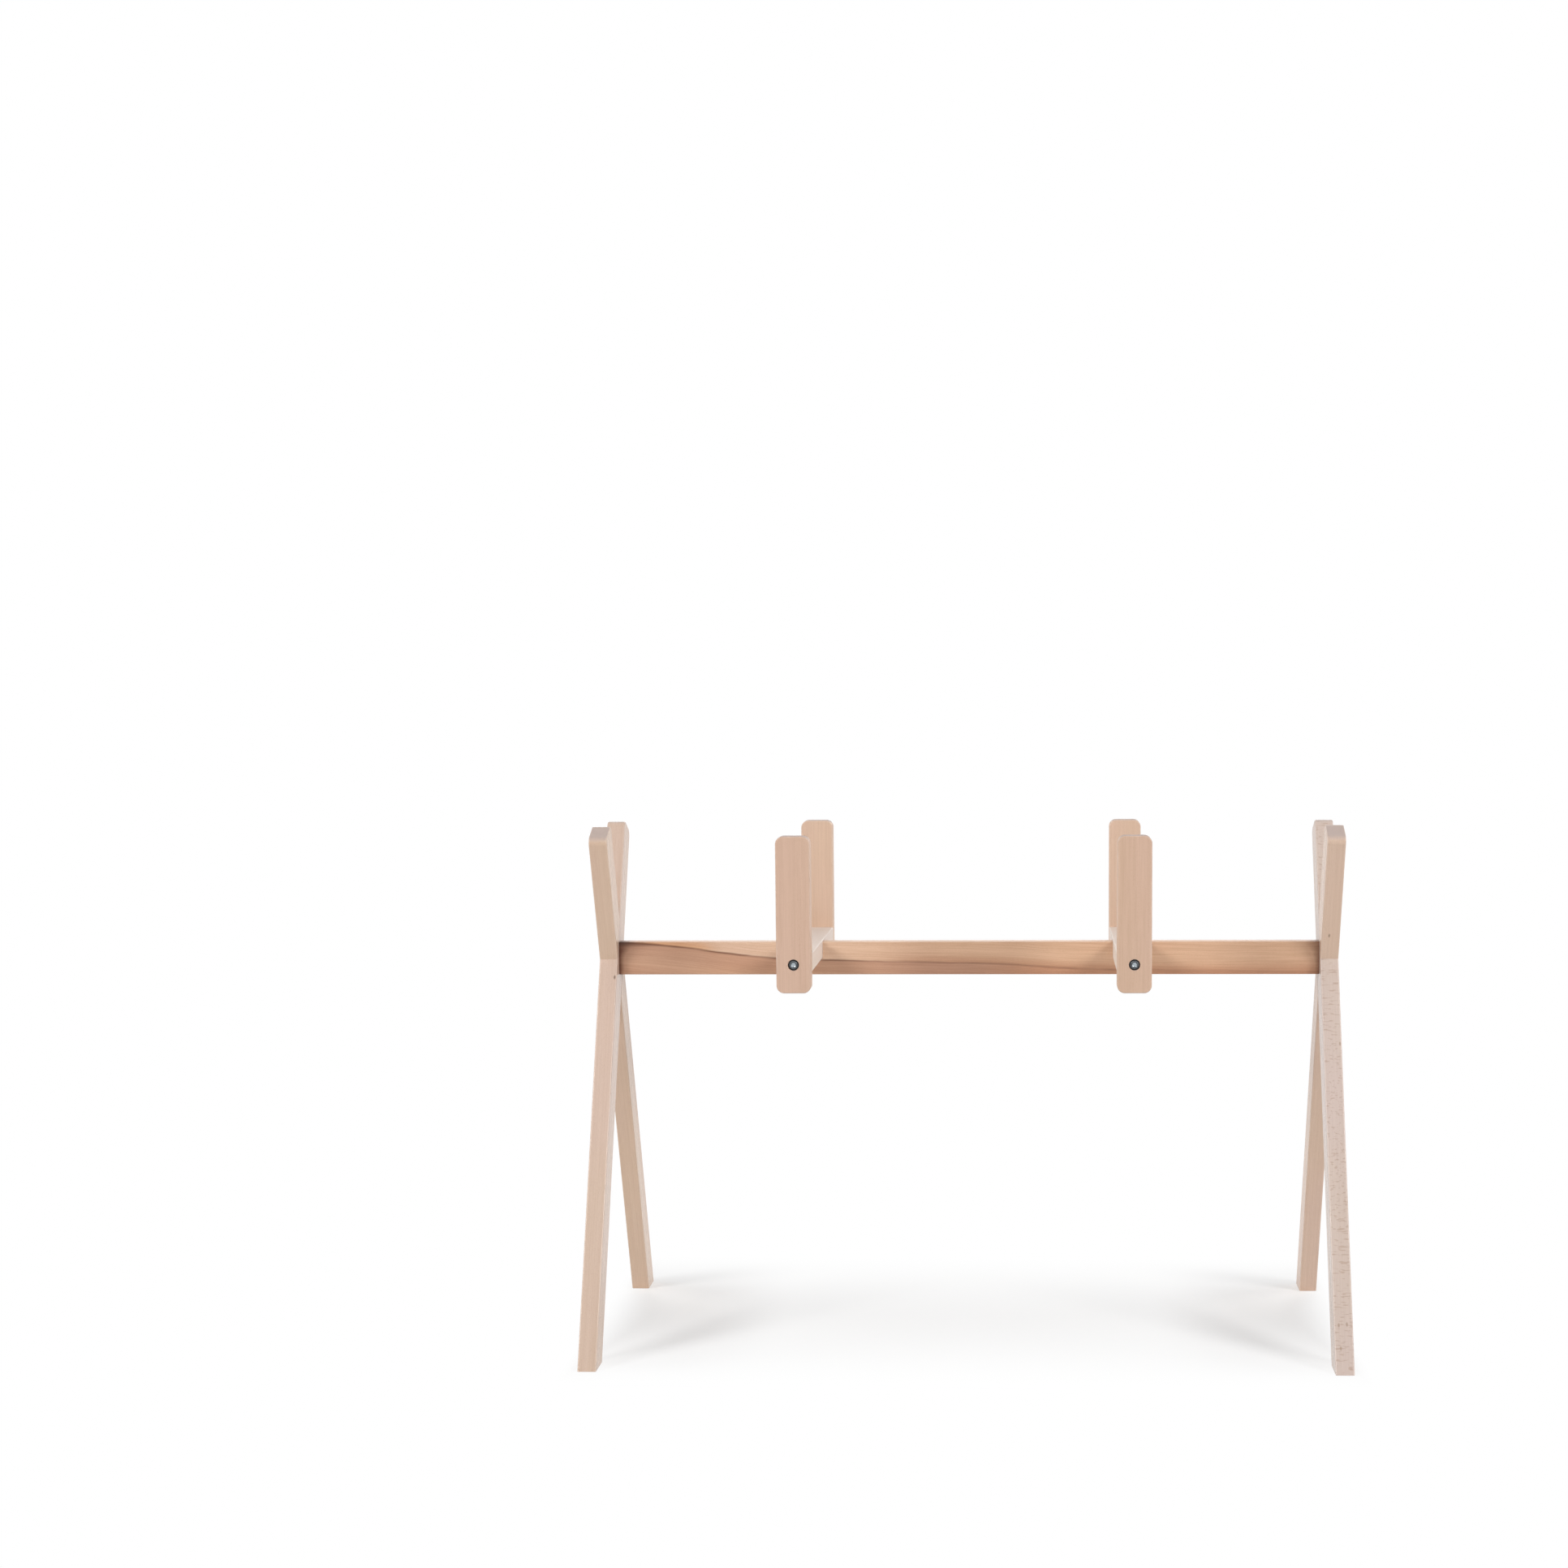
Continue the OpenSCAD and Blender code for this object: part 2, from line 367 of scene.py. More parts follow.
@dataclass(frozen=True)
class NodeSheet:
    """A node tree with short calls for the nodes that the finishes share.

    Attributes:
        tree: Tree to draw on.
    """

    tree: bpy.types.NodeTree

    def feed(self, socket: Socket, value: Term) -> None:
        """Links a value into a socket, or sets the socket's own value.

        Args:
            socket: Input of a node.
            value: Value to link, or a plain number, vector or colour.
        """
        if isinstance(value, Value):
            self.tree.links.new(value.socket, socket)
        elif socket.type == "RGBA":
            socket.default_value = (*value, 1.0)
        else:
            socket.default_value = value

    def feed_all(self, sockets: Sockets, values: dict[str, Term]) -> None:
        """Feeds each value into the socket that it is named for."""
        for name, value in values.items():
            self.feed(sockets[name], value)

    def values(self, sockets: Sockets) -> dict[str, Value]:
        """Gives a node's outputs as values, by name."""
        return {socket.name: Value(self, socket) for socket in sockets}

    def node(self, kind: str, *values: Term, **settings: object) -> bpy.types.Node:
        """Adds a node, sets its properties and feeds its first inputs in order.

        Args:
            kind: Blender's name for the node.
            values: Values of its first inputs.
            settings: Properties of the node.

        Returns:
            The node.
        """
        made = self.tree.nodes.new(kind)
        for name, setting in settings.items():
            setattr(made, name, setting)
        for socket, value in zip(made.inputs, values):
            self.feed(socket, value)
        return made

    def output(self, kind: str, label: str | int, *values: Term, **settings: object) -> Value:
        """Adds a node in the same way and gives the output with that name or number."""
        return Value(self, self.node(kind, *values, **settings).outputs[label])

    def math(self, operation: str, first: Term, second: Term = 0.0, clamp: bool = False) -> Value:
        """Works out a number from two others, kept from 0 to 1 if clamp is set."""
        return self.output("ShaderNodeMath", 0, first, second, operation=operation, use_clamp=clamp)

    def vector(self, operation: str, first: Value, second: Term = (0.0, 0.0, 0.0)) -> Value:
        """Works out a vector, or for LENGTH a number, from two vectors."""
        label = "Value" if operation == "LENGTH" else "Vector"
        return self.output("ShaderNodeVectorMath", label, first, second, operation=operation)

    def split(self, vector: Value) -> list[Value]:
        """Gives a vector's three numbers."""
        return [Value(self, socket) for socket in self.node("ShaderNodeSeparateXYZ", vector).outputs]

    def join(self, first: Value, second: Term, third: Term = 0.0) -> Value:
        """Gives the vector of three numbers."""
        return self.output("ShaderNodeCombineXYZ", 0, first, second, third)

    def ramp(self, value: Value, fade: Fade) -> Value:
        """Maps a value smoothly by a fade."""
        terms = (value, fade.start, fade.end, fade.low, fade.high)
        return self.output("ShaderNodeMapRange", 0, *terms, interpolation_type="SMOOTHSTEP")

    def noise(self, place: Value, kind: Noise, colour: bool = False) -> Value:
        """Lays noise over a place.

        Args:
            place: Coordinates in metres.
            kind: Stretch, fineness and contrast of the noise.
            colour: Whether three numbers are wanted and not one.

        Returns:
            The noise.
        """
        made = self.node("ShaderNodeTexNoise")
        stretched = self.vector("MULTIPLY", place, kind.per_metre)
        fineness = {"Scale": 1.0, "Detail": kind.detail, "Roughness": kind.roughness}
        self.feed_all(made.inputs, {"Vector": stretched, **fineness})
        value = Value(self, made.outputs[int(colour)])
        return value.faded(kind.contrast) if kind.contrast else value

    def mix(self, share: Term, under: Term, over: Term, blend: str = "MIX") -> Value:
        """Lays one colour over another.

        Args:
            share: Share of the upper colour.
            under: Lower colour.
            over: Upper colour.
            blend: How the two are blended.

        Returns:
            The blended colour.
        """
        made = self.node("ShaderNodeMix", share, data_type="RGBA", blend_type=blend)
        sides = [socket for socket in made.inputs if socket.type == "RGBA"]
        for socket, colour in zip(sides, (under, over)):
            self.feed(socket, colour)
        return next(Value(self, socket) for socket in made.outputs if socket.type == "RGBA")

    def toned(self, colour: Value, tone: Colour, share: Value) -> Value:
        """Darkens or warms a colour by a tone, by a share."""
        return self.mix(share, colour, self.mix(1.0, colour, tone, "MULTIPLY"))

    def bump(self, height: Value, depth: float) -> Value:
        """Gives the normal of a surface with a relief.

        Args:
            height: Height of the relief, from 0 to 1.
            depth: How deep the relief goes, in metres.

        Returns:
            The normal.
        """
        made = self.node("ShaderNodeBump")
        self.feed_all(made.inputs, {"Strength": 1.0, "Distance": depth, "Height": height})
        return Value(self, made.outputs["Normal"])

    def place(self, effect: "Effect", values: dict[str, Term]) -> dict[str, Value]:
        """Places an effect on the sheet.

        Args:
            effect: Effect to place.
            values: Value for each named input.

        Returns:
            The effect's outputs, by name.
        """
        placed = self.node("ShaderNodeGroup", node_tree=effect.tree())
        self.feed_all(placed.inputs, values)
        return self.values(placed.outputs)


# Effects that finishes share


@dataclass(frozen=True)
class Effect:
    """An effect that several finishes share, kept as one shader node group.

    Attributes:
        name: Name of the group.
        inputs: Kind of each named input.
        outputs: Kind of each named output.
    """

    name: str
    inputs: ClassVar[dict[str, str]]
    outputs: ClassVar[dict[str, str]]

    def tree(self) -> bpy.types.NodeTree:
        """Gives the group, which is made the first time it is asked for.

        Returns:
            The group.
        """
        found = bpy.data.node_groups.get(self.name)
        if found:
            return found
        tree = bpy.data.node_groups.new(self.name, "ShaderNodeTree")
        for direction, sockets in (("INPUT", self.inputs), ("OUTPUT", self.outputs)):
            for label, kind in sockets.items():
                tree.interface.new_socket(name=label, in_out=direction, socket_type=f"NodeSocket{kind}")
        sheet = NodeSheet(tree)
        drawn = self.draw(sheet, sheet.values(sheet.node("NodeGroupInput").outputs))
        sheet.feed_all(sheet.node("NodeGroupOutput").inputs, drawn)
        return tree

    def draw(self, sheet: NodeSheet, given: dict[str, Value]) -> dict[str, Value]:
        """Draws the effect; each kind of effect has its own way."""
        raise NotImplementedError


@dataclass(frozen=True)
class BeechFigure(Effect):
    """The figure of beech: growth rings about the pith, fibres, rays and a few dark specks.

    Attributes:
        sway: Noise by which the grain sways.
        sway_reach: How far it sways along each axis.
        late_wood: Power that narrows the dark wood of a year's growth.
        years: How dark each year's growth is.
        bands: Broad bands along the grain.
        band_depth: How much the bands darken the wood.
        streaks: Narrow streaks along the grain.
        streak_depth: How much the streaks darken the wood.
        fibres: Fine fibres.
        fibre_depth: How much the fibres darken or lighten the wood.
        flecks: Ray flecks, laid over radius, turn and length.
        fleck_tone: Tone of a ray fleck.
        straw: Broad patches of a straw tone.
        straw_tone: That tone.
        speck_cells: Cells in a metre along each axis, some with a speck.
        speck_cut: Share of the cells that have none.
        speck_edge: How a speck fades, by the distance from its middle in a cell.
        speck_colour: Colour of a speck.
        fibre_grip: Roughness that the fibres add.
        band_grip: Roughness that the bands add.
        fibre_relief: Height of the fibres.
        ring_relief: Depth of the late wood.
        ray_relief: Depth of the ray flecks.
    """

    inputs: ClassVar[dict[str, str]] = {
        "Log": "Vector", "Pale": "Color", "Deep": "Color", "Ring Width": "Float", "Rings": "Float",
        "Rays": "Float", "Ray Length": "Float", "Ray Height": "Float", "Specks": "Float",
        "Smoothest": "Float",
    }
    outputs: ClassVar[dict[str, str]] = {"Color": "Color", "Roughness": "Float", "Height": "Float"}
    name: str = "beech_figure"
    sway: Noise = Noise((9.0, 9.0, 2.2))
    sway_reach: Place = (0.012, 0.012, 0.0)
    late_wood: float = 4.0
    years: Noise = Noise((420.0, 1.0, 1.0), contrast=Fade(0.3, 0.7, 0.25, 1.0))
    bands: Noise = Noise((55.0, 55.0, 1.6), 4.0, 0.6, Fade(0.32, 0.68))
    band_depth: float = 0.3
    streaks: Noise = Noise((420.0, 420.0, 5.0), 3.0, 0.65, Fade(0.3, 0.7))
    streak_depth: float = 0.4
    fibres: Noise = Noise((1300.0, 1300.0, 22.0), 3.0, 0.6)
    fibre_depth: Fade = Fade(0.35, 0.65, -0.2, 0.2)
    flecks: Noise = Noise((1.0, 260.0, 1.0), 1.0, contrast=Fade(0.56, 0.7))
    fleck_tone: Colour = (0.72, 0.6, 0.52)
    straw: Noise = Noise((12.0, 12.0, 4.0), contrast=Fade(0.35, 0.65))
    straw_tone: Colour = (0.99, 1.0, 0.965)
    speck_cells: Place = (26.0, 26.0, 11.0)
    speck_cut: float = 0.8
    speck_edge: Fade = Fade(0.012, 0.04, 1.0, 0.0)
    speck_colour: Colour = (0.13, 0.07, 0.045)
    fibre_grip: Fade = Fade(0.3, 0.7, 0.0, 0.06)
    band_grip: float = 0.04
    fibre_relief: float = 0.6
    ring_relief: float = 0.5
    ray_relief: float = 0.3

    def specks(self, sheet: NodeSheet, log: Value) -> Value:
        """Gives the strength of the few dark specks.

        Args:
            sheet: Sheet of the group.
            log: Place in the log.

        Returns:
            The strength, from 0 to 1.
        """
        cells = sheet.node("ShaderNodeTexVoronoi")
        stretched = sheet.vector("MULTIPLY", log, self.speck_cells)
        sheet.feed_all(cells.inputs, {"Vector": stretched, "Scale": 1.0})
        found = sheet.values(cells.outputs)
        chosen = sheet.math("GREATER_THAN", sheet.split(found["Color"])[0], self.speck_cut)
        return found["Distance"].faded(self.speck_edge) * chosen

    def draw(self, sheet: NodeSheet, given: dict[str, Value]) -> dict[str, Value]:
        """Draws the figure about the log's pith.

        Args:
            sheet: Sheet of the group.
            given: Inputs of the group.

        Returns:
            Outputs of the group.
        """
        log = given["Log"]
        sway = sheet.vector("MULTIPLY", sheet.noise(log, self.sway, colour=True), self.sway_reach)
        across, through, length = sheet.split(sheet.vector("ADD", log, sway))
        radius = sheet.vector("LENGTH", sheet.join(across, through))
        turn = sheet.math("ARCTAN2", through, across)

        ring = sheet.math("FRACT", radius / given["Ring Width"])
        late_wood = sheet.math("POWER", ring, self.late_wood)
        rings = late_wood * sheet.noise(sheet.join(radius, 0.0), self.years) * given["Rings"]
        bands = sheet.noise(log, self.bands)
        streaks = sheet.noise(log, self.streaks)
        fibres = sheet.noise(log, self.fibres)
        fleck_place = sheet.join(radius * given["Ray Length"], turn, length * given["Ray Height"])
        rays = sheet.noise(fleck_place, self.flecks) * given["Rays"]

        depth = bands * self.band_depth + rings + streaks * self.streak_depth
        depth = sheet.math("ADD", depth, fibres.faded(self.fibre_depth), clamp=True)
        colour = sheet.mix(depth, given["Pale"], given["Deep"])
        colour = sheet.toned(colour, self.straw_tone, sheet.noise(log, self.straw))
        colour = sheet.toned(colour, self.fleck_tone, rays)
        colour = sheet.mix(self.specks(sheet, log) * given["Specks"], colour, self.speck_colour)
        grip = fibres.faded(self.fibre_grip) + bands * self.band_grip
        relief = fibres * self.fibre_relief - rings * self.ring_relief - rays * self.ray_relief
        return {"Color": colour, "Roughness": grip + given["Smoothest"], "Height": relief}


@dataclass(frozen=True)
class RubbedEdges(Effect):
    """How handling pales the eased edges, and how end grain drinks the lacquer.

    Attributes:
        patches: How unevenly the edges are rubbed.
        rubbed_colour: Colour of a rubbed edge.
        polish: Roughness that rubbing takes away.
        pores: How unevenly the end grain soaks.
        soak_share: Greatest share of the end grain's colour.
        end_colour: Colour of the soaked end grain.
        dullness: Roughness that soaking adds.
    """

    inputs: ClassVar[dict[str, str]] = {
        "Color": "Color", "Roughness": "Float", "Log": "Vector",
        "Eased": "Float", "Rub": "Float", "End": "Float",
    }
    outputs: ClassVar[dict[str, str]] = {"Color": "Color", "Roughness": "Float"}
    name: str = "rubbed_edges_and_ends"
    patches: Noise = Noise((90.0, 90.0, 35.0), 3.0, contrast=Fade(0.35, 0.65, 0.35, 1.0))
    rubbed_colour: Colour = (0.82, 0.72, 0.64)
    polish: float = 0.06
    pores: Noise = Noise((2400.0, 2400.0, 300.0), contrast=Fade(0.4, 0.7, 0.75, 1.0))
    soak_share: float = 0.8
    end_colour: Colour = (0.46, 0.388, 0.377)
    dullness: float = 0.4

    def draw(self, sheet: NodeSheet, given: dict[str, Value]) -> dict[str, Value]:
        """Draws the rubbed edges and the soaked ends over a colour.

        Args:
            sheet: Sheet of the group.
            given: Inputs of the group.

        Returns:
            Outputs of the group.
        """
        rubbed = given["Eased"] * sheet.noise(given["Log"], self.patches)
        soaked = given["End"] * sheet.noise(given["Log"], self.pores)
        colour = sheet.mix(rubbed * given["Rub"], given["Color"], self.rubbed_colour)
        colour = sheet.mix(soaked * self.soak_share, colour, self.end_colour)
        roughness = given["Roughness"] - rubbed * self.polish + soaked * self.dullness
        return {"Color": colour, "Roughness": roughness}


@dataclass(frozen=True)
class PlatedMetal(Effect):
    """Plated metal: a soft mottle with fine scratches.

    Attributes:
        mottle: Soft patches.
        patch_edge: How a dull patch turns into a bright one.
        scratches: Fine scratches.
        mottle_relief: Height of the patches, beside that of the scratches.
    """

    inputs: ClassVar[dict[str, str]] = {
        "Place": "Vector", "Dull": "Color", "Bright": "Color", "Smoothest": "Float", "Roughest": "Float",
    }
    outputs: ClassVar[dict[str, str]] = {"Color": "Color", "Roughness": "Float", "Height": "Float"}
    name: str = "plated_metal"
    mottle: Noise = Noise((700.0, 700.0, 700.0), 4.0, 0.6)
    patch_edge: Fade = Fade(0.35, 0.65)
    scratches: Noise = Noise((9000.0, 500.0, 500.0))
    mottle_relief: float = 0.5

    def draw(self, sheet: NodeSheet, given: dict[str, Value]) -> dict[str, Value]:
        """Draws the mottle and the scratches.

        Args:
            sheet: Sheet of the group.
            given: Inputs of the group.

        Returns:
            Outputs of the group.
        """
        mottle = sheet.noise(given["Place"], self.mottle)
        scratches = sheet.noise(given["Place"], self.scratches)
        colour = sheet.mix(mottle.faded(self.patch_edge), given["Dull"], given["Bright"])
        roughness = given["Smoothest"] + (given["Roughest"] - given["Smoothest"]) * scratches
        return {"Color": colour, "Roughness": roughness, "Height": mottle * self.mottle_relief + scratches}


# Finishes


@dataclass(frozen=True)
class Finish:
    """A finish of the stand, kept as one material.

    Attributes:
        name: Name of the material.
    """

    name: str

    def material(self) -> bpy.types.Material:
        """Gives the material, which is made the first time it is asked for.

        Returns:
            The material.
        """
        found = bpy.data.materials.get(self.name)
        if found:
            return found
        made = bpy.data.materials.new(self.name)
        made.use_nodes = True
        self.draw(NodeSheet(made.node_tree), made.node_tree.nodes["Principled BSDF"].inputs)
        return made

    def draw(self, sheet: NodeSheet, surface: Sockets) -> None:
        """Draws the finish; each kind of finish has its own way."""
        raise NotImplementedError


@dataclass(frozen=True)
class BeechFinish(Finish):
    """Beech under a clear lacquer.

    Attributes:
        pale: Colour of the pale wood.
        deep: Colour of the darker bands and rings.
        ring_width: Width of a year's growth.
        rings: Strength of the growth rings.
        rays: Strength of the ray flecks.
        ray_length: Rays in a metre, along the rays.
        ray_height: Rays in a metre, along the grain.
        specks: Strength of the small dark specks.
        smoothest: Least roughness of the lacquer.
        rub: How much handling has paled the eased edges.
        knots: Places of the pin knots in the log.
        knot_stretch: Stretch of a pin knot along each axis of the log.
        knot_edge: How a pin knot fades, by the distance from its middle.
        knot: Colour of the pin knots.
        relief: Depth of the grain's relief.
        source: Where the finish reads its place in the log.
    """

    pale: Colour
    deep: Colour
    ring_width: float = 3.4 * MM
    rings: float = 0.3
    rays: float = 0.35
    ray_length: float = 90.0
    ray_height: float = 800.0
    specks: float = 0.6
    smoothest: float = 0.23
    rub: float = 0.25
    knots: tuple[Place, ...] = ()
    knot_stretch: Place = (1.0, 1.0, 0.5)
    knot_edge: Fade = Fade(0.52 * MM, 1.82 * MM, 0.85, 0.0)
    knot: Colour = (0.17, 0.1, 0.065)
    relief: float = 0.006 * MM
    source: GrainSource = GrainSource.BOARD

    def log_place(self, sheet: NodeSheet) -> Value:
        """Gives the place in the log that the finish reads.

        Args:
            sheet: Sheet of the material.

        Returns:
            The place, with the pith along the third axis.
        """
        if self.source is GrainSource.BOARD:
            return sheet.output("ShaderNodeAttribute", "Vector", attribute_name="log")
        turn = sheet.node("ShaderNodeMapping", sheet.output("ShaderNodeTexCoord", "Object"))
        turn.inputs["Rotation"].default_value = (0.0, math.radians(-90), 0.0)
        return Value(sheet, turn.outputs[0])

    def figure(self, sheet: NodeSheet, colour: Value, log: Value) -> Value:
        """Sets the pin knots into the wood.

        Args:
            sheet: Sheet of the material.
            colour: Colour of the grain.
            log: Place in the log.

        Returns:
            The colour with the knots.
        """
        for place in self.knots:
            apart = sheet.vector("MULTIPLY", sheet.vector("SUBTRACT", log, place), self.knot_stretch)
            mark = sheet.vector("LENGTH", apart).faded(self.knot_edge)
            colour = sheet.mix(mark, colour, self.knot)
        return colour

    def draw(self, sheet: NodeSheet, surface: Sockets) -> None:
        """Draws the wood, its worn edges and ends, and the lacquer's sheen.

        Args:
            sheet: Sheet of the material.
            surface: Inputs of the surface shader.
        """
        log = self.log_place(sheet)
        grain = sheet.place(
            BeechFigure(),
            {"Log": log, "Pale": self.pale, "Deep": self.deep, "Ring Width": self.ring_width,
             "Rings": self.rings, "Rays": self.rays, "Ray Length": self.ray_length,
             "Ray Height": self.ray_height, "Specks": self.specks, "Smoothest": self.smoothest},
        )
        shown = {"Color": self.figure(sheet, grain["Color"], log), "Roughness": grain["Roughness"]}
        if self.source is GrainSource.BOARD:
            marks = sheet.output("ShaderNodeAttribute", "Vector", attribute_name="marks")
            eased, end, _ = sheet.split(marks)
            worn = {**shown, "Log": log, "Eased": eased, "Rub": self.rub, "End": end}
            shown = sheet.place(RubbedEdges(), worn)
        looks = {"Base Color": shown["Color"], "Roughness": shown["Roughness"], "IOR": LACQUER_IOR}
        sheet.feed_all(surface, {**looks, "Normal": sheet.bump(grain["Height"], self.relief)})


@dataclass(frozen=True)
class Tone:
    """A tone of the wood above the beam's streak.

    Attributes:
        colour: Tone, which multiplies the colour of the wood.
        along: Fades by the place along the beam.
        lift: Fades by the height above the streak.
    """

    colour: Colour
    along: tuple[Fade, ...]
    lift: tuple[Fade, ...] = ()


@dataclass(frozen=True, kw_only=True)
class HeartBeechFinish(BeechFinish):
    """Beech with a brown heart streak that wanders down the beam's length.

    Places along the beam are in metres. Heights, and lifts above the streak, are shares of the beam's height.

    Attributes:
        low: Lowest corner of the beam.
        high: Highest corner of the beam.
        line: Places of the streak, from the beam's left end and from its underside, as shares.
        wander: Noise by which the streak wanders.
        wander_reach: How far it wanders.
        slope: How far it drops in a metre towards the rear.
        streak: Colour of the streak.
        thread_width: Half width of its dark thread, along the beam.
        ink: Strength of the thread.
        ink_along: How that strength changes along the beam.
        depth: Painted shade that darkens the wood towards the underside.
        underside_shade_fade: How that painted shade goes, by the height.
        shade: Tone of the wood below the streak.
        shade_edge: How the wood below the streak ends at it, by the lift.
        shade_fade: How the shade goes, by the lift.
        shade_along: Least strength of the shade, along the beam.
        ash: Tone that greys the wood below the streak, most near the middle.
        ash_along: How the ash goes along the beam.
        halo: Shade just above the streak, from the middle to the right.
        glow: Tone just above the streak, at the left.
        cream: Tone of the paler wood above the streak, left of the middle.
        end_shade: Painted shade at the beam's ends, where the legs meet it.
        soaked: How far the painted shade reaches in from an end; the next fields count in it.
        end_shade_height: How that reach stretches, by the height.
        end_shade_noise: How unevenly the painted shade reaches in.
        end_shade_uneven: Strength of that noise.
        end_shade_fade: How the painted shade at an end goes.
        end_shade_tail: How its faint tail goes.
        end_shade_right: Strength of the painted shade at the right end, beside the left one.
    """

    low: Place
    high: Place
    line: Outline = (
        (0.0, 0.93), (0.1, 0.75), (0.15, 0.6), (0.23, 0.43),
        (0.38, 0.34), (0.54, 0.27), (0.66, 0.11), (1.0, 0.02),
    )
    wander: Noise = Noise((14.0, 14.0, 40.0), 3.0)
    wander_reach: float = 0.06
    slope: float = 6.0
    streak: Colour = (0.1, 0.02, 0.0)
    thread_width: Fade = Fade(-0.37, -0.43, 0.05, 0.15)
    ink: Noise = Noise((25.0, 25.0, 120.0), contrast=Fade(0.35, 0.6, 0.6, 1.0))
    ink_along: tuple[Fade, ...] = (Fade(-0.08, -0.2, 0.45, 0.85), Fade(0.15, 0.25, 1.0, 0.4))
    # Painted shade: the wood is darkened towards the underside.
    depth: Colour = (0.93, 0.87, 0.84)
    underside_shade_fade: Fade = Fade(0.6, 0.0)
    shade: Colour = (0.81, 0.685, 0.63)
    shade_edge: Fade = Fade(-0.03, 0.03, 1.0, 0.0)
    shade_fade: Fade = Fade(-0.7, -0.02, 0.3, 1.0)
    shade_along: Fade = Fade(-0.2, -0.03, 0.3, 1.0)
    ash: Colour = (0.99, 1.09, 1.2)
    ash_along: tuple[Fade, ...] = (Fade(0.1, 0.0), Fade(-0.25, -0.17, 0.6, 1.0))
    halo: Tone = Tone(shade, (Fade(-0.12, -0.03),), (Fade(0.0, 0.35, 0.75, 0.0),))
    glow: Tone = Tone((1.04, 0.92, 0.78), (Fade(-0.3, -0.33),), (Fade(0.06, 0.35, 1.0, 0.0),))
    cream: Tone = Tone((1.07, 1.16, 1.27), (Fade(-0.04, -0.2), Fade(-0.36, -0.29)))
    # Painted shade at the beam's ends, where the legs meet it.
    end_shade: Colour = (0.17, 0.065, 0.015)
    soaked: float = 11 * MM
    end_shade_height: Fade = Fade(0.3, 1.0, 1.5, 0.5)
    end_shade_noise: Noise = Noise((20.0, 20.0, 160.0), 3.0)
    end_shade_uneven: float = 0.6
    end_shade_fade: Fade = Fade(0.2, 1.4, 1.0, 0.0)
    end_shade_tail: Fade = Fade(0.5, 4.0, 0.08, 0.0)
    end_shade_right: float = 0.75

    def line_height(self, sheet: NodeSheet, x: Value) -> Value:
        """Gives the streak's height at a place along the beam.

        Args:
            sheet: Sheet of the material.
            x: Place along the beam.

        Returns:
            The height above the underside, as a share.
        """
        share = (x - self.low[0]) / (self.high[0] - self.low[0])
        curve = sheet.node("ShaderNodeFloatCurve")
        sheet.feed(curve.inputs["Value"], share)
        points = curve.mapping.curves[0].points
        points[0].location, points[1].location = self.line[0], self.line[-1]
        for spot in self.line[1:-1]:
            points.new(*spot)
        curve.mapping.update()
        return Value(sheet, curve.outputs[0])

    def log_place(self, sheet: NodeSheet) -> Value:
        """Gives the place in the log, bent so that the grain follows the streak.

        Args:
            sheet: Sheet of the material.

        Returns:
            The bent place.
        """
        across, through, length = sheet.split(super().log_place(sheet))
        x = sheet.split(sheet.output("ShaderNodeTexCoord", "Object"))[0]
        drop = self.line_height(sheet, x) * (self.high[2] - self.low[2])
        return sheet.join(across - drop, through, length)

    def figure(self, sheet: NodeSheet, colour: Value, log: Value) -> Value:
        """Lays the streak, the tones on both sides of it and painted shade low down and at the ends over the
        grain.

        Args:
            sheet: Sheet of the material.
            colour: Colour of the grain.
            log: Place in the log.

        Returns:
            The colour of the beam.
        """
        place = sheet.output("ShaderNodeTexCoord", "Object")
        x, y, z = sheet.split(place)
        height = (z - self.low[2]) / (self.high[2] - self.low[2])
        wander = sheet.noise(place, self.wander) * self.wander_reach
        lift = height + wander - self.line_height(sheet, x) - self.wander_reach / 2 + y * self.slope
        colour = super().figure(sheet, colour, log)
        # Painted shade: darker towards the underside.
        colour = sheet.toned(colour, self.depth, height.faded(self.underside_shade_fade))
        colour = self.sides_of_streak(sheet, colour, x, lift)
        colour = sheet.mix(self.thread(sheet, place, x, lift), colour, self.streak)
        # Painted shade at the ends, where the legs meet the beam.
        return sheet.toned(colour, self.end_shade, self.painted_end_shade(sheet, place, x, height))

    def sides_of_streak(self, sheet: NodeSheet, colour: Value, x: Value, lift: Value) -> Value:
        """Tones the wood on both sides of the streak.

        Args:
            sheet: Sheet of the material.
            colour: Colour of the wood.
            x: Place along the beam.
            lift: Height above the streak.

        Returns:
            The toned colour.
        """
        under = lift.faded(self.shade_edge)
        over = 1.0 - under
        below = under * sheet.math("MAXIMUM", lift.faded(self.shade_fade), x.faded(self.shade_along))
        colour = sheet.toned(colour, self.shade, below)
        colour = sheet.toned(colour, self.ash, below * x.faded(*self.ash_along))
        for tone in (self.halo, self.glow, self.cream):
            share = over * x.faded(*tone.along)
            if tone.lift:
                share = share * lift.faded(*tone.lift)
            colour = sheet.toned(colour, tone.colour, share)
        return colour

    def thread(self, sheet: NodeSheet, place: Value, x: Value, lift: Value) -> Value:
        """Gives the strength, from 0 to 1, of the dark thread in the streak."""
        core = sheet.math("SUBTRACT", 1.0, abs(lift) / x.faded(self.thread_width), clamp=True)
        return core * (sheet.noise(place, self.ink) * x.faded(*self.ink_along))

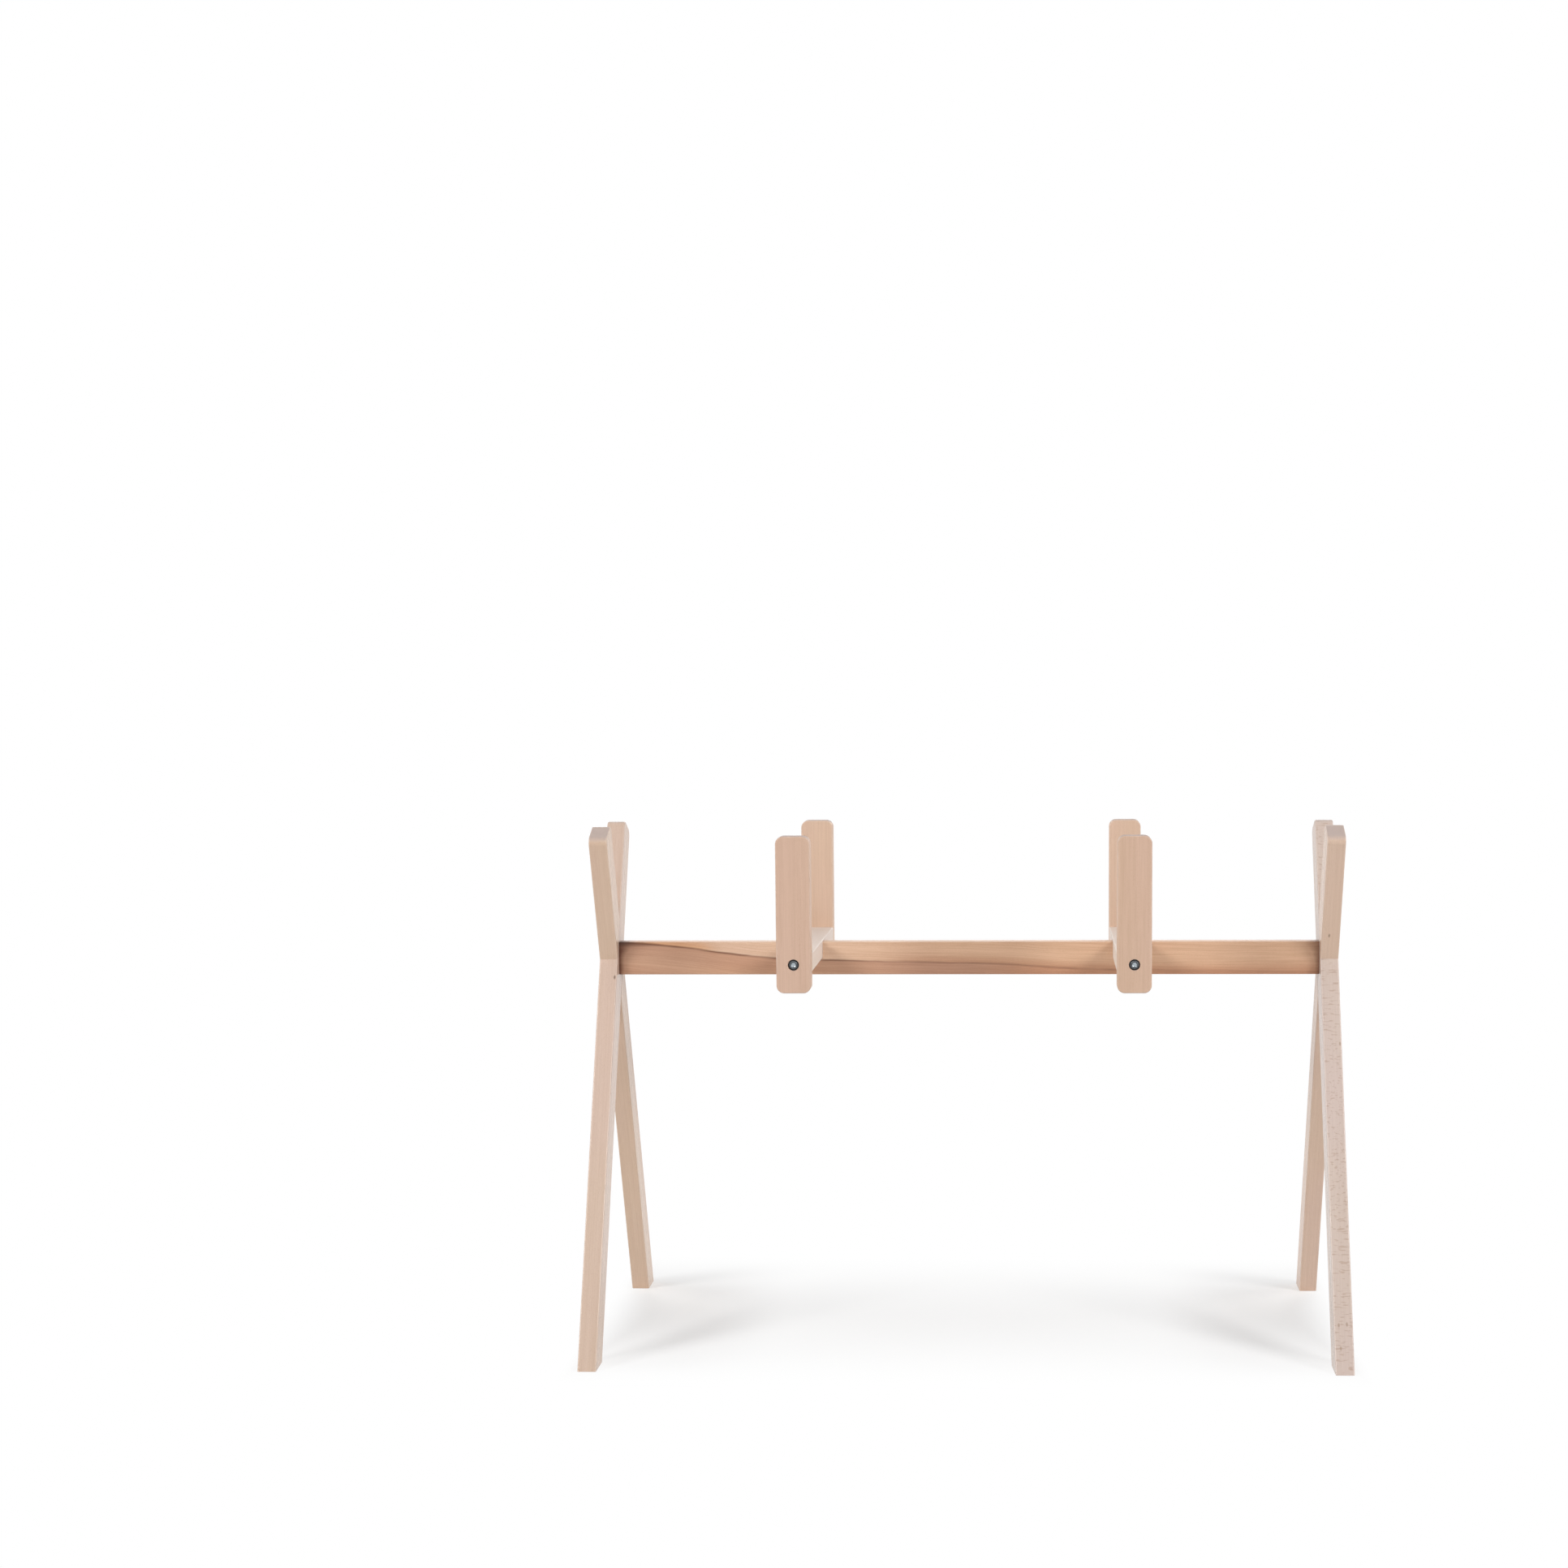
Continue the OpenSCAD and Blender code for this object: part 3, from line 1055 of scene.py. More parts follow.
    def painted_end_shade(self, sheet: NodeSheet, place: Value, x: Value, height: Value) -> Value:
        """Gives the share of painted shade at the beam's ends, where the legs meet it, most at the upper
        corners.

        Args:
            sheet: Sheet of the material.
            place: Place on the beam.
            x: Place along the beam.
            height: Height above the beam's underside.

        Returns:
            The share, from 0 to 1.
        """
        # Painted shade at the ends of the beam, deepest at the upper corners.
        left, right = self.low[0], self.high[0]
        inward = (right - left) / 2 - abs(x - (left + right) / 2)
        inward = inward * height.faded(self.end_shade_height) / self.soaked
        uneven = sheet.noise(place, self.end_shade_noise) * self.end_shade_uneven
        share = (inward + uneven).faded(self.end_shade_fade) * x.faded(Fade(left, right, 1.0, self.end_shade_right))
        return sheet.math("MAXIMUM", share, inward.faded(self.end_shade_tail))


@dataclass(frozen=True)
class SteelFinish(Finish):
    """Plated or blackened metal.

    Attributes:
        dull: Colour of the dull patches.
        bright: Colour of the bright patches.
        smoothest: Least roughness.
        roughest: Greatest roughness.
        turned: Whether the piece carries turning marks about its own axis.
        ridge_pitch: Distance between two turning marks.
        ridge_relief: Height of the turning marks.
        relief: Depth of the relief.
    """

    dull: Colour
    bright: Colour
    smoothest: float = 0.25
    roughest: float = 0.5
    turned: bool = False
    ridge_pitch: float = 0.25 * MM
    ridge_relief: float = 0.5
    relief: float = 0.01 * MM

    def draw(self, sheet: NodeSheet, surface: Sockets) -> None:
        """Draws the plating and, on a turned piece, its turning marks.

        Args:
            sheet: Sheet of the material.
            surface: Inputs of the surface shader.
        """
        metal = sheet.place(
            PlatedMetal(),
            {"Place": sheet.output("ShaderNodeTexCoord", "Object"), "Dull": self.dull, "Bright": self.bright,
             "Smoothest": self.smoothest, "Roughest": self.roughest},
        )
        height = metal["Height"]
        if self.turned:
            x, y, _ = sheet.split(sheet.output("ShaderNodeAttribute", "Vector", attribute_name="lathe"))
            radius = sheet.vector("LENGTH", sheet.join(x, y))
            height = height + sheet.math("SINE", radius * (math.tau / self.ridge_pitch)) * self.ridge_relief
        looks = {"Base Color": metal["Color"], "Roughness": metal["Roughness"], "Metallic": 1.0}
        sheet.feed_all(surface, {**looks, "Normal": sheet.bump(height, self.relief)})


LEG_BEECH = BeechFinish(
    "leg_beech", pale=(0.66, 0.495, 0.405), deep=(0.585, 0.425, 0.335), knots=((0.11, 0.0185, 0.353),),
)
PALE_LEG_BEECH = BeechFinish(
    "pale_leg_beech",
    pale=(0.675, 0.495, 0.395),
    deep=(0.6, 0.42, 0.32),
    knots=((0.09, -0.042, 4.1265),),
    knot=(0.3, 0.2, 0.14),
)
STRAW_LEG_BEECH = BeechFinish("straw_leg_beech", pale=(0.675, 0.495, 0.38), deep=(0.6, 0.42, 0.31))
FIGURED_BEECH = BeechFinish(
    "figured_leg_beech",
    pale=(0.645, 0.52, 0.465),
    deep=(0.575, 0.455, 0.4),
    rings=0.12,
    rays=0.6,
    ray_height=480.0,
    knots=((0.0, 0.1045, 2.33), (0.0, 0.114, 2.331), (0.0, 0.106, 2.303), (0.0, 0.1188, 2.669)),
    knot=(0.4, 0.28, 0.21),
)
ARM_BEECH = BeechFinish(
    "arm_beech", pale=(0.75, 0.635, 0.565), deep=(0.725, 0.6, 0.525), rings=0.1, rays=0.1, smoothest=0.5,
)
UPRIGHT_BEECH = BeechFinish(
    "upright_beech", pale=(0.64, 0.438, 0.332), deep=(0.565, 0.374, 0.272), smoothest=0.42,
)
PALE_UPRIGHT_BEECH = BeechFinish(
    "pale_upright_beech", pale=(0.725, 0.515, 0.395), deep=(0.645, 0.45, 0.335), smoothest=0.42,
)
DOWEL_BEECH = BeechFinish(
    "dowel_beech", pale=(0.72, 0.56, 0.42), deep=(0.62, 0.45, 0.33), source=GrainSource.OBJECT_X,
)
DARK_STEEL = SteelFinish("dark_steel", dull=(0.05, 0.055, 0.06), bright=(0.12, 0.125, 0.135))
DARK_BOLT = SteelFinish("dark_bolt", dull=(0.06, 0.066, 0.072), bright=(0.14, 0.15, 0.16), turned=True)
# Lighter steel for the socket's floor only: a painted glint, with the lamps' own reflections on it too.
GLINT_SOCKET_STEEL = SteelFinish(
    "bright_socket", dull=(0.33, 0.375, 0.4), bright=(0.5, 0.55, 0.59), smoothest=0.12, roughest=0.22,
)
ZINC = SteelFinish("zinc", dull=(0.5, 0.52, 0.54), bright=(0.68, 0.7, 0.72))
BRASS = SteelFinish("brass", dull=(0.56, 0.38, 0.14), bright=(0.78, 0.58, 0.26), smoothest=0.2)


def give_finishes(piece: bpy.types.Object, *finishes: Finish) -> None:
    """Gives a piece these finishes and no others.

    Args:
        piece: Piece to finish.
        finishes: Finishes in the order of the faces' numbers.
    """
    piece.data.materials.clear()
    for finish in finishes:
        piece.data.materials.append(finish.material())


def finish_solid(node: str, finish: Finish) -> None:
    """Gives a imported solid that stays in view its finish."""
    give_finishes(frame["nodes"][node], finish)
    LOG.info("%s: solid kept, finished in %s", node, finish.name)


# Fasteners and their holes


@dataclass(frozen=True)
class BoltStock:
    """Sizes that all the socket bolts and their holes share, in metres.

    Attributes:
        head_height: Height of the head.
        head_round: Radius of the head's rim.
        shank: Diameter of the shank.
        socket_width: Width of the hexagonal socket across its flats.
        socket_depth: Depth of the socket.
        point_share: Depth of the drill point in its floor, as a share of the socket's radius.
        mouth_width: Width of the chamfer round the socket's mouth.
        mouth_depth: Depth of that chamfer.
        sink: Depth of the head's face below the wood.
        sunk_hole: Diameter of the hole for the head.
        sunk_depth: Depth of that hole.
        hole_lip: Width of the chamfer round that hole's mouth.
        play: Radial play of the shank in its hole.
        plain_shank: Length of shank without a thread, below the head.
        pitch: Pitch of the thread.
        thread_depth: Depth of the thread.
    """

    head_height: float = 6 * MM
    head_round: float = 0.7 * MM
    shank: float = 6 * MM
    socket_width: float = 5 * MM
    socket_depth: float = 3 * MM
    point_share: float = 0.5
    mouth_width: float = 0.7 * MM
    mouth_depth: float = 0.55 * MM
    sink: float = 0.5 * MM
    sunk_hole: float = 13 * MM
    sunk_depth: float = 8 * MM
    hole_lip: float = 0.4 * MM
    play: float = 0.08 * MM
    plain_shank: float = 6 * MM
    pitch: float = 1 * MM
    thread_depth: float = 0.5 * MM


@dataclass
class Bolt:
    """A socket bolt, turned about its own axis, and the hole that it sits in.

    Attributes:
        node: Node that the bolt stands for.
        outward: Direction from its tip to its head.
        stock: Sizes that it shares with the other bolts.
        length: Length of the bolt with its head.
        head_radius: Radius of the head.
        place: Place of the head's face, with Z outward.
    """

    node: str
    outward: Vector
    stock: BoltStock = BoltStock()
    length: float = field(init=False)
    head_radius: float = field(init=False)
    place: Matrix = field(init=False)

    def __post_init__(self) -> None:
        """Reads the bolt's length, head and place from its node."""
        low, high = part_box(self.node)
        reach = high - low
        self.length = abs(reach.dot(self.outward))
        self.head_radius = min(reach) / 2
        self.place = along(self.outward, (low + high) / 2 + self.outward * self.length / 2)

    def profile(self) -> Outline:
        """Gives the bolt's profile: head, plain shank, thread and tip.

        Returns:
            Radius and height of each corner.
        """
        stock = self.stock
        radius = stock.shank / 2
        thread_top = -stock.head_height - stock.plain_shank
        turns = int((self.length + thread_top) / stock.pitch) - 1
        thread = [
            (radius - half * stock.thread_depth, thread_top - (turn + half / 2) * stock.pitch)
            for turn in range(turns)
            for half in (0, 1)
        ]
        return [
            (0.0, 0.0),
            (self.head_radius, 0.0),
            (self.head_radius, -stock.head_height),
            (radius, -stock.head_height),
            *thread,
            (radius - stock.thread_depth, stock.pitch / 2 - self.length),
            (radius - 2 * stock.thread_depth, -self.length),
            (0.0, -self.length),
        ]

    def socket(self) -> Shape:
        """Makes the cutter for the hexagonal socket, with a drill point.

        Returns:
            The cutter, about the bolt's axis.
        """
        above, bottom = self.stock.sink, -self.stock.socket_depth
        corner = self.stock.socket_width / 2 / math.cos(math.pi / HEX_SIDES)
        point = bottom - corner * self.stock.point_share
        return turned([(0.0, above), (corner, above), (corner, bottom), (0.0, point)], HEX_SIDES)

    def mouth(self) -> Shape:
        """Makes the cutter for the round chamfer of the socket's mouth.

        Returns:
            The cutter, about the bolt's axis.
        """
        above, bottom = self.stock.sink, -self.stock.mouth_depth
        flat = self.stock.socket_width / 2
        wide = flat + self.stock.mouth_width * (1 - above / bottom)
        return turned([(0.0, above), (wide, above), (flat, bottom), (0.0, bottom)])

    def hole(self) -> Shape:
        """Makes the cutter for the bolt's hole, with a chamfered sunk hole for the head.

        Returns:
            The cutter in its place.
        """
        stock = self.stock
        sunk, bore = stock.sunk_hole / 2, stock.shank / 2 + stock.play
        above, end = stock.sink, -self.length - 2 * stock.sink
        profile = [
            (0.0, above),
            (sunk + stock.hole_lip + above, above),
            (sunk, -stock.hole_lip),
            (sunk, -stock.sunk_depth),
            (bore, -stock.sunk_depth),
            (bore, end),
            (0.0, end),
        ]
        return moved(turned(profile), self.place @ Matrix.Translation(Z_AXIS * stock.sink))

    def build(self) -> bpy.types.Object:
        """Turns the bolt, rounds its rim and cuts its socket.

        Returns:
            The bolt, about its own axis.
        """
        shape = turned(self.profile())
        rim = [edge for edge in sharp_edges(shape) if all(vert.co.z > -WELD for vert in edge.verts)]
        round_over(shape, rim, self.stock.head_round, RIM_STEPS)
        bolt = mesh_object(f"{self.node}_turned", shape)
        cut_away(bolt, [self.socket(), self.mouth()])
        return bolt

    def dress(self, bolt: bpy.types.Object) -> None:
        """Finishes the bolt dark, with a lighter steel on the socket's floor as a painted glint, and puts it
        in place.

        Args:
            bolt: The bolt, about its own axis.
        """
        give_finishes(bolt, DARK_BOLT, GLINT_SOCKET_STEEL)
        mesh, stock = bolt.data, self.stock
        for face in mesh.polygons:
            inside = face.center.to_2d().length < stock.socket_width / 2 + stock.mouth_width
            # The socket's floor gets the lighter steel, a painted glint.
            face.material_index = int(inside and -stock.head_height < face.center.z < -stock.socket_depth)
        note_vectors(mesh, "lathe", [vert.co.copy() for vert in mesh.vertices])
        mesh.transform(self.place)
        even_shading(bolt)
        hand_over(bolt, self.node, STAND)


def drilled(node: str, axis: Vector, run_out: float = 0.0, play: float = 0.05 * MM) -> Shape:
    """Makes the cutter for the plain hole that a dowel, a nut or an insert sits in.

    Args:
        node: Node of the piece in the hole.
        axis: Direction into the wood.
        run_out: Length that the hole reaches beyond the piece, back to the wood's surface.
        play: Play round and beyond the piece.

    Returns:
        The cutter in its place.
    """
    low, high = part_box(node)
    length = abs((high - low).dot(axis))
    radius = min(high - low) / 2 + play
    end = (low + high) / 2 + axis * (length / 2 + play)
    start = -length - 2 * play - run_out
    return moved(turned([(0.0, 0.0), (radius, 0.0), (radius, start), (0.0, start)]), along(axis, end))


# Boards


@dataclass
class Board:
    """A planed length of beech with eased edges.

    Attributes:
        node: Node that the board stands for.
        body: Body that it moves with.
        slot: Slot of the record that names its finish; not used.
        finish: Finish of the wood.
        size: Width, thickness and length.
        axes: Directions of the width, thickness and length, as columns.
        centre: Middle of the uncut board.
        ends: Which ends have rounded corners.
        log: Place of the board's middle in the log, whose pith is the third axis.
        corner_radius: Radius of the rounded corners.
        edge_radius: Radius of the eased long edges.
        end_ease: Radius of the eased edges of a sawn end.
    """

    node: str
    body: str
    slot: str
    finish: BeechFinish
    size: Vector
    axes: Matrix
    centre: Vector
    ends: Ends
    log: Vector
    corner_radius: float = 9 * MM
    edge_radius: float = 1.5 * MM
    end_ease: float = 0.5 * MM

    @classmethod
    def filling(cls, node: str, axes: Matrix, trim: float = 0.0, **fields: object) -> "Board":
        """Lays out a board that fills its node's box.

        Args:
            node: Node that the board stands for.
            axes: Directions of the width, thickness and length, as columns.
            trim: Length taken off each end.
            fields: The board's other fields.

        Returns:
            The board.
        """
        low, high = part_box(node)
        size = Vector([abs(side) for side in axes.transposed() @ (high - low)])
        size.z -= 2 * trim
        return cls(node=node, axes=axes, size=size, centre=(low + high) / 2, **fields)

    @property
    def place(self) -> Matrix:
        """Place of the board: its middle and its axes."""
        return Matrix.Translation(self.centre) @ self.axes.to_4x4()

    def is_round_corner(self, edge: Edge) -> bool:
        """Tells whether an edge of the square bar is a corner to be rounded.

        Args:
            edge: Edge of the bar in its own axes.

        Returns:
            Whether it runs through the thickness at a rounded end.
        """
        first, second = (vert.co for vert in edge.verts)
        runs_through = abs(first.y - second.y) > WELD
        if self.ends is Ends.SQUARE or not runs_through:
            return False
        return self.ends is Ends.BOTH_ROUND or first.z > 0

    def bar(self) -> Shape:
        """Planes the bar, rounds its end corners and eases its edges.

        Returns:
            The bar in its place, before it is cut.
        """
        shape = block(self.size, Matrix.Identity(4))
        corners = [edge for edge in shape.edges if self.is_round_corner(edge)]
        if corners:
            round_over(shape, corners, self.corner_radius, CORNER_STEPS)
        long_edges = sharp_edges(shape)
        if self.ends is Ends.SQUARE:
            long_edges = [edge for edge in long_edges if abs(edge.verts[0].co.z - edge.verts[1].co.z) > WELD]
        round_over(shape, long_edges, self.edge_radius, EASE_STEPS)
        round_over(shape, sharp_edges(shape), self.end_ease, END_STEPS)
        return moved(shape, self.place)

    def saw_level(self, shape: Shape) -> None:
        """Saws a leaning bar off level with the floor and eases the foot's edges.

        Args:
            shape: Bar in its place.
        """
        whole = [*shape.verts, *shape.edges, *shape.faces]
        level = {"plane_co": (0, 0, 0), "plane_no": Z_AXIS}
        cut = bmesh.ops.bisect_plane(shape, geom=whole, clear_inner=True, **level)
        bmesh.ops.edgeloop_fill(shape, edges=[part for part in cut["geom_cut"] if isinstance(part, Edge)])
        foot = [edge for edge in sharp_edges(shape) if all(abs(vert.co.z) < WELD for vert in edge.verts)]
        round_over(shape, foot, self.end_ease, END_STEPS)

    def build(self, cutters: Sequence[Shape]) -> bpy.types.Object:
        """Makes the board and cuts its joints and holes.

        Args:
            cutters: Shapes of the joints and holes, which are used up.

        Returns:
            The board in its place.
        """
        shape = self.bar()
        if min(vert.co.z for vert in shape.verts) < -WELD:
            self.saw_level(shape)
        board = mesh_object(f"{self.node}_board", shape)
        cut_away(board, cutters)
        return board

    def round_inset(self, spot: Vector) -> float:
        """Gives how far a point lies inside the outline of a board with rounded corners.

        Args:
            spot: Point in the board's own axes.

        Returns:
            The distance.
        """
        half = Vector((self.size.x, self.size.z)) / 2
        beyond = Vector((abs(spot.x), abs(spot.z))) - half + Vector((self.corner_radius, self.corner_radius))
        outside = Vector((max(beyond.x, 0.0), max(beyond.y, 0.0))).length
        return self.corner_radius - outside - min(max(beyond), 0.0)

    def edge_marks(self, spot: Vector, normal: Vector) -> Vector:
        """Tells how far a point lies on an eased edge, and how far it faces along the grain.

        Args:
            spot: Point in the board's own axes.
            normal: Direction that the surface faces there, in the same axes.

        Returns:
            The two shares, from 0 to 1, and a zero.
        """
        inset = self.size.x / 2 - abs(spot.x)
        if self.ends is not Ends.SQUARE:
            inset = self.round_inset(spot)
        depth = max(inset, self.size.y / 2 - abs(spot.y))
        eased = (self.edge_radius - depth) / (self.edge_radius * math.sqrt(0.5))
        end = (abs(normal.z) - END_FACING) / (1 - END_FACING)
        return Vector((min(max(eased, 0.0), 1.0), max(end, 0.0), 0.0))

    def dress(self, board: bpy.types.Object) -> None:
        """Marks where the board lay in the log, finishes it and hands it over.

        Args:
            board: The board in its place.
        """
        give_finishes(board, self.finish)
        mesh = board.data
        home, turn = self.place.inverted(), self.axes.transposed()
        spots = [home @ vert.co for vert in mesh.vertices]
        note_vectors(mesh, "log", [spot + self.log for spot in spots])
        even_shading(board)
        marks = [
            self.edge_marks(spots[corner.vertex_index], turn @ facing.vector)
            for corner, facing in zip(mesh.loops, mesh.corner_normals)
        ]
        note_vectors(mesh, "marks", marks, "CORNER")
        hand_over(board, self.node, self.body)


# Sub-assemblies


@dataclass
class EndFrame:
    """Two legs crossed in a flush half lap and bolted to one end of the beam.

    Attributes:
        side: End of the stand.
        logs: Place of each leg in its log.
        finishes: Finish of each leg.
        leg_width: Width of a leg.
        lap_play: Play on each side of the lap.
        crossing: Middle of the crossing.
        thickness: Thickness of a leg.
        top: Height of the legs' tops.
        lean: Angle between a leg and the upright.
        bolt: Bolt through the crossing.
    """

    side: Side
    logs: dict[Row, Vector]
    finishes: dict[Row, BeechFinish]
    leg_width: float = 40 * MM
    lap_play: float = 0.1 * MM
    crossing: Vector = field(init=False)
    thickness: float = field(init=False)
    top: float = field(init=False)
    lean: float = field(init=False)
    bolt: Bolt = field(init=False)

    def __post_init__(self) -> None:
        """Reads the crossing, the lean and the leg's sizes from the frame."""
        low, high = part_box(node_name(self.side, Row.FRONT, "leg"))
        beam_low, beam_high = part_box("beam")
        places = {mount["name"]: mount["pos_m"] for mount in frame["record"]["mounts"]}
        self.crossing = Vector(((low.x + high.x) / 2, 0, (beam_low.z + beam_high.z) / 2))
        self.thickness = high.x - low.x
        self.top = high.z
        self.lean = math.atan2(places[node_name(self.side, Row.REAR, "foot")][1], self.crossing.z)
        self.bolt = Bolt(node_name(self.side, "end_bolt"), X_AXIS * self.side.value)

    def leg_axes(self, row: Row) -> Matrix:
        """Gives the width, thickness and length directions of a leg that stands in a row."""
        up = Vector((0, -row.value * math.sin(self.lean), math.cos(self.lean)))
        return columns(X_AXIS.cross(up), X_AXIS, up)

    def leg(self, row: Row) -> Board:
        """Lays out a leg.

        Args:
            row: Where its foot stands.

        Returns:
            The leg, reaching from below the floor to its rounded top.
        """
        corner = Board.corner_radius
        sine, cosine = math.sin(self.lean), math.cos(self.lean)
        rise = (self.top - self.crossing.z - corner - (self.leg_width / 2 - corner) * sine) / cosine + corner
        run = self.crossing.z / cosine + self.leg_width
        axes = self.leg_axes(row)
        return Board(
            node=node_name(self.side, row, "leg"),
            body=STAND,
            slot="leg_wood",
            finish=self.finishes[row],
            size=Vector((self.leg_width, self.thickness, rise + run)),
            axes=axes,
            centre=self.crossing + axes.col[2] * (rise - run) / 2,
            ends=Ends.TOP_ROUND,
            log=self.logs[row],
        )

    def lap(self, row: Row) -> Shape:
        """Makes the cutter for the half of a leg that the other leg fills at the crossing.

        Args:
            row: Where the leg's foot stands.

        Returns:
            The cutter, as thick as a leg and longer than the crossing.
        """
        other = Row.REAR if row is Row.FRONT else Row.FRONT
        outward = -self.side.value * row.value
        size = Vector((self.leg_width + 2 * self.lap_play, self.thickness, 4 * self.leg_width))
        middle = self.crossing + X_AXIS * outward * self.thickness / 2
        return block(size, Matrix.Translation(middle) @ self.leg_axes(other).to_4x4())

    def build(self) -> None:
        """Makes both legs and the bolt that holds them, and finishes what sits inside."""
        dowels = [node_name(self.side, dowel) for dowel in DOWELS]
        for row in Row:
            leg = self.leg(row)
            holes = [drilled(dowel, X_AXIS * self.side.value) for dowel in dowels]
            leg.dress(leg.build([self.lap(row), self.bolt.hole(), *holes]))
        self.bolt.dress(self.bolt.build())
        for dowel in dowels:
            finish_solid(dowel, DOWEL_BEECH)
        finish_solid(node_name(self.side, "end_washer"), DARK_STEEL)
        finish_solid(node_name(self.side, "end_barrel_nut"), ZINC)


@dataclass
class Beam:
    """The beam between the two end frames, with housings for the arms.

    Attributes:
        log: Place of the beam in its log.
        housing_play: Play on each side of an arm in its housing.
        nut_run_out: Length that a barrel nut's hole reaches below the nut.
    """

    log: Vector
    housing_play: float = 0.1 * MM
    nut_run_out: float = 20 * MM

    def housing(self, side: Side) -> Shape:
        """Makes the cutter for the housing that an arm lies in.

        Args:
            side: End of the stand.

        Returns:
            The cutter in its place, wider than the beam is thick.
        """
        low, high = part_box(node_name(side, "arm"))
        beam_low, beam_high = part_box("beam")
        width = high.x - low.x + 2 * self.housing_play
        size = Vector((width, 2 * (beam_high.y - beam_low.y), high.z - low.z))
        return block(size, Matrix.Translation(Vector(((low.x + high.x) / 2, 0, (low.z + high.z) / 2))))

    def cutters(self, side: Side) -> list[Shape]:
        """Makes the cutters for one end of the beam.

        Args:
            side: End of the stand.

        Returns:
            The housing and the holes for bolts, nut and dowels.
        """
        outward = X_AXIS * side.value
        return [
            self.housing(side),
            Bolt(node_name(side, "end_bolt"), outward).hole(),
            Bolt(node_name(side, "arm_bolt"), -Z_AXIS).hole(),
            drilled(node_name(side, "end_barrel_nut"), Z_AXIS, self.nut_run_out),
            *(drilled(node_name(side, dowel), outward) for dowel in DOWELS),
        ]

    def build(self) -> None:
        """Makes the beam and cuts its joints and holes."""
        low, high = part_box("beam")
        finish = HeartBeechFinish(
            "beam_beech",
            pale=(0.7, 0.443, 0.298),
            deep=(0.557, 0.32, 0.202),
            rings=0.35,
            smoothest=0.42,
            rub=0.0,
            low=tuple(low),
            high=tuple(high),
        )
        board = Board.filling(
            "beam",
            columns(Z_AXIS, -Y_AXIS, X_AXIS),
            body=STAND,
            slot="beam_wood",
            finish=finish,
            ends=Ends.SQUARE,
            log=self.log,
        )
        board.dress(board.build([cutter for side in Side for cutter in self.cutters(side)]))


@dataclass
class Cradle:
    """An arm let into the beam, with an upright bolted to each end.

    Attributes:
        side: End of the stand.
        arm_log: Place of the arm in its log.
        upright_logs: Place of each upright in its log.
        upright_finishes: Finish of each upright.
        turn_play: Play between an arm's end and its upright, which turns there.
        insert_run_out: Length that the insert's hole reaches below the insert.
    """

    side: Side
    arm_log: Vector
    upright_logs: dict[Row, Vector]
    upright_finishes: dict[Row, BeechFinish] = field(
        default_factory=lambda: {Row.FRONT: UPRIGHT_BEECH, Row.REAR: PALE_UPRIGHT_BEECH}
    )
    turn_play: float = 0.02 * MM
    insert_run_out: float = 1 * MM

    def bolts(self) -> dict[Row, Bolt]:
        """Gives the bolt of each upright."""
        return {row: Bolt(node_name(self.side, row, "upright_bolt"), Y_AXIS * row.value) for row in Row}

    def build_arm(self) -> None:
        """Makes the arm, which lies flat across the beam."""
        arm = Board.filling(
            node_name(self.side, "arm"),
            columns(X_AXIS, -Z_AXIS, Y_AXIS),
            trim=self.turn_play,
            body=STAND,
            slot="arm_wood",
            finish=ARM_BEECH,
            ends=Ends.SQUARE,
            log=self.arm_log,
        )
        nuts = [drilled(node_name(self.side, row, "barrel_nut"), Z_AXIS, arm.size.y / 2) for row in Row]
        bolts = [bolt.hole() for bolt in self.bolts().values()]
        insert = drilled(node_name(self.side, "arm_insert"), Z_AXIS, self.insert_run_out)
        arm.dress(arm.build([*nuts, *bolts, insert]))

    def build_upright(self, row: Row, bolt: Bolt) -> None:
        """Makes an upright and the bolt that it turns on.

        Args:
            row: End of the arm.
            bolt: Bolt through the upright.
        """
        upright = Board.filling(
            node_name(self.side, row, "upright"),
            Matrix.Identity(3),
            body=node_name(self.side, row, "post"),
            slot="upright_wood",
            finish=self.upright_finishes[row],
            ends=Ends.BOTH_ROUND,
            log=self.upright_logs[row],
        )
        upright.dress(upright.build([bolt.hole()]))
        bolt.dress(bolt.build())

    def build(self) -> None:
        """Makes the arm, its uprights and bolts, and finishes what sits inside."""
        self.build_arm()
        for row, bolt in self.bolts().items():
            self.build_upright(row, bolt)
            finish_solid(node_name(self.side, row, "upright_washer"), DARK_STEEL)
            finish_solid(node_name(self.side, row, "barrel_nut"), ZINC)
        arm_bolt = Bolt(node_name(self.side, "arm_bolt"), -Z_AXIS)
        arm_bolt.dress(arm_bolt.build())
        finish_solid(node_name(self.side, "arm_washer"), DARK_STEEL)
        finish_solid(node_name(self.side, "arm_insert"), BRASS)


# Studio


@dataclass(frozen=True)
class Softbox:
    """A large soft lamp.

    Attributes:
        name: Name of the lamp.
        place: Where its middle hangs.
        width: Width of its panel.
        height: Height of its panel.
        watts: Power.
        aim: Point that it faces.
    """

    name: str
    place: Place
    width: float
    height: float
    watts: float
    aim: Place = (0.0, 0.0, 0.45)

    def hang(self) -> None:
        """Hangs the lamp, out of the camera's sight."""
        panel = bpy.data.lights.new(self.name, "AREA")
        panel.shape = "RECTANGLE"
        panel.size, panel.size_y = self.width, self.height
        panel.energy = self.watts
        lamp = bpy.data.objects.new(self.name, panel)
        lamp.location = self.place
        lamp.rotation_euler = (Vector(self.aim) - Vector(self.place)).to_track_quat("-Z", "Y").to_euler()
        lamp.visible_camera = False
        bpy.context.scene.collection.objects.link(lamp)


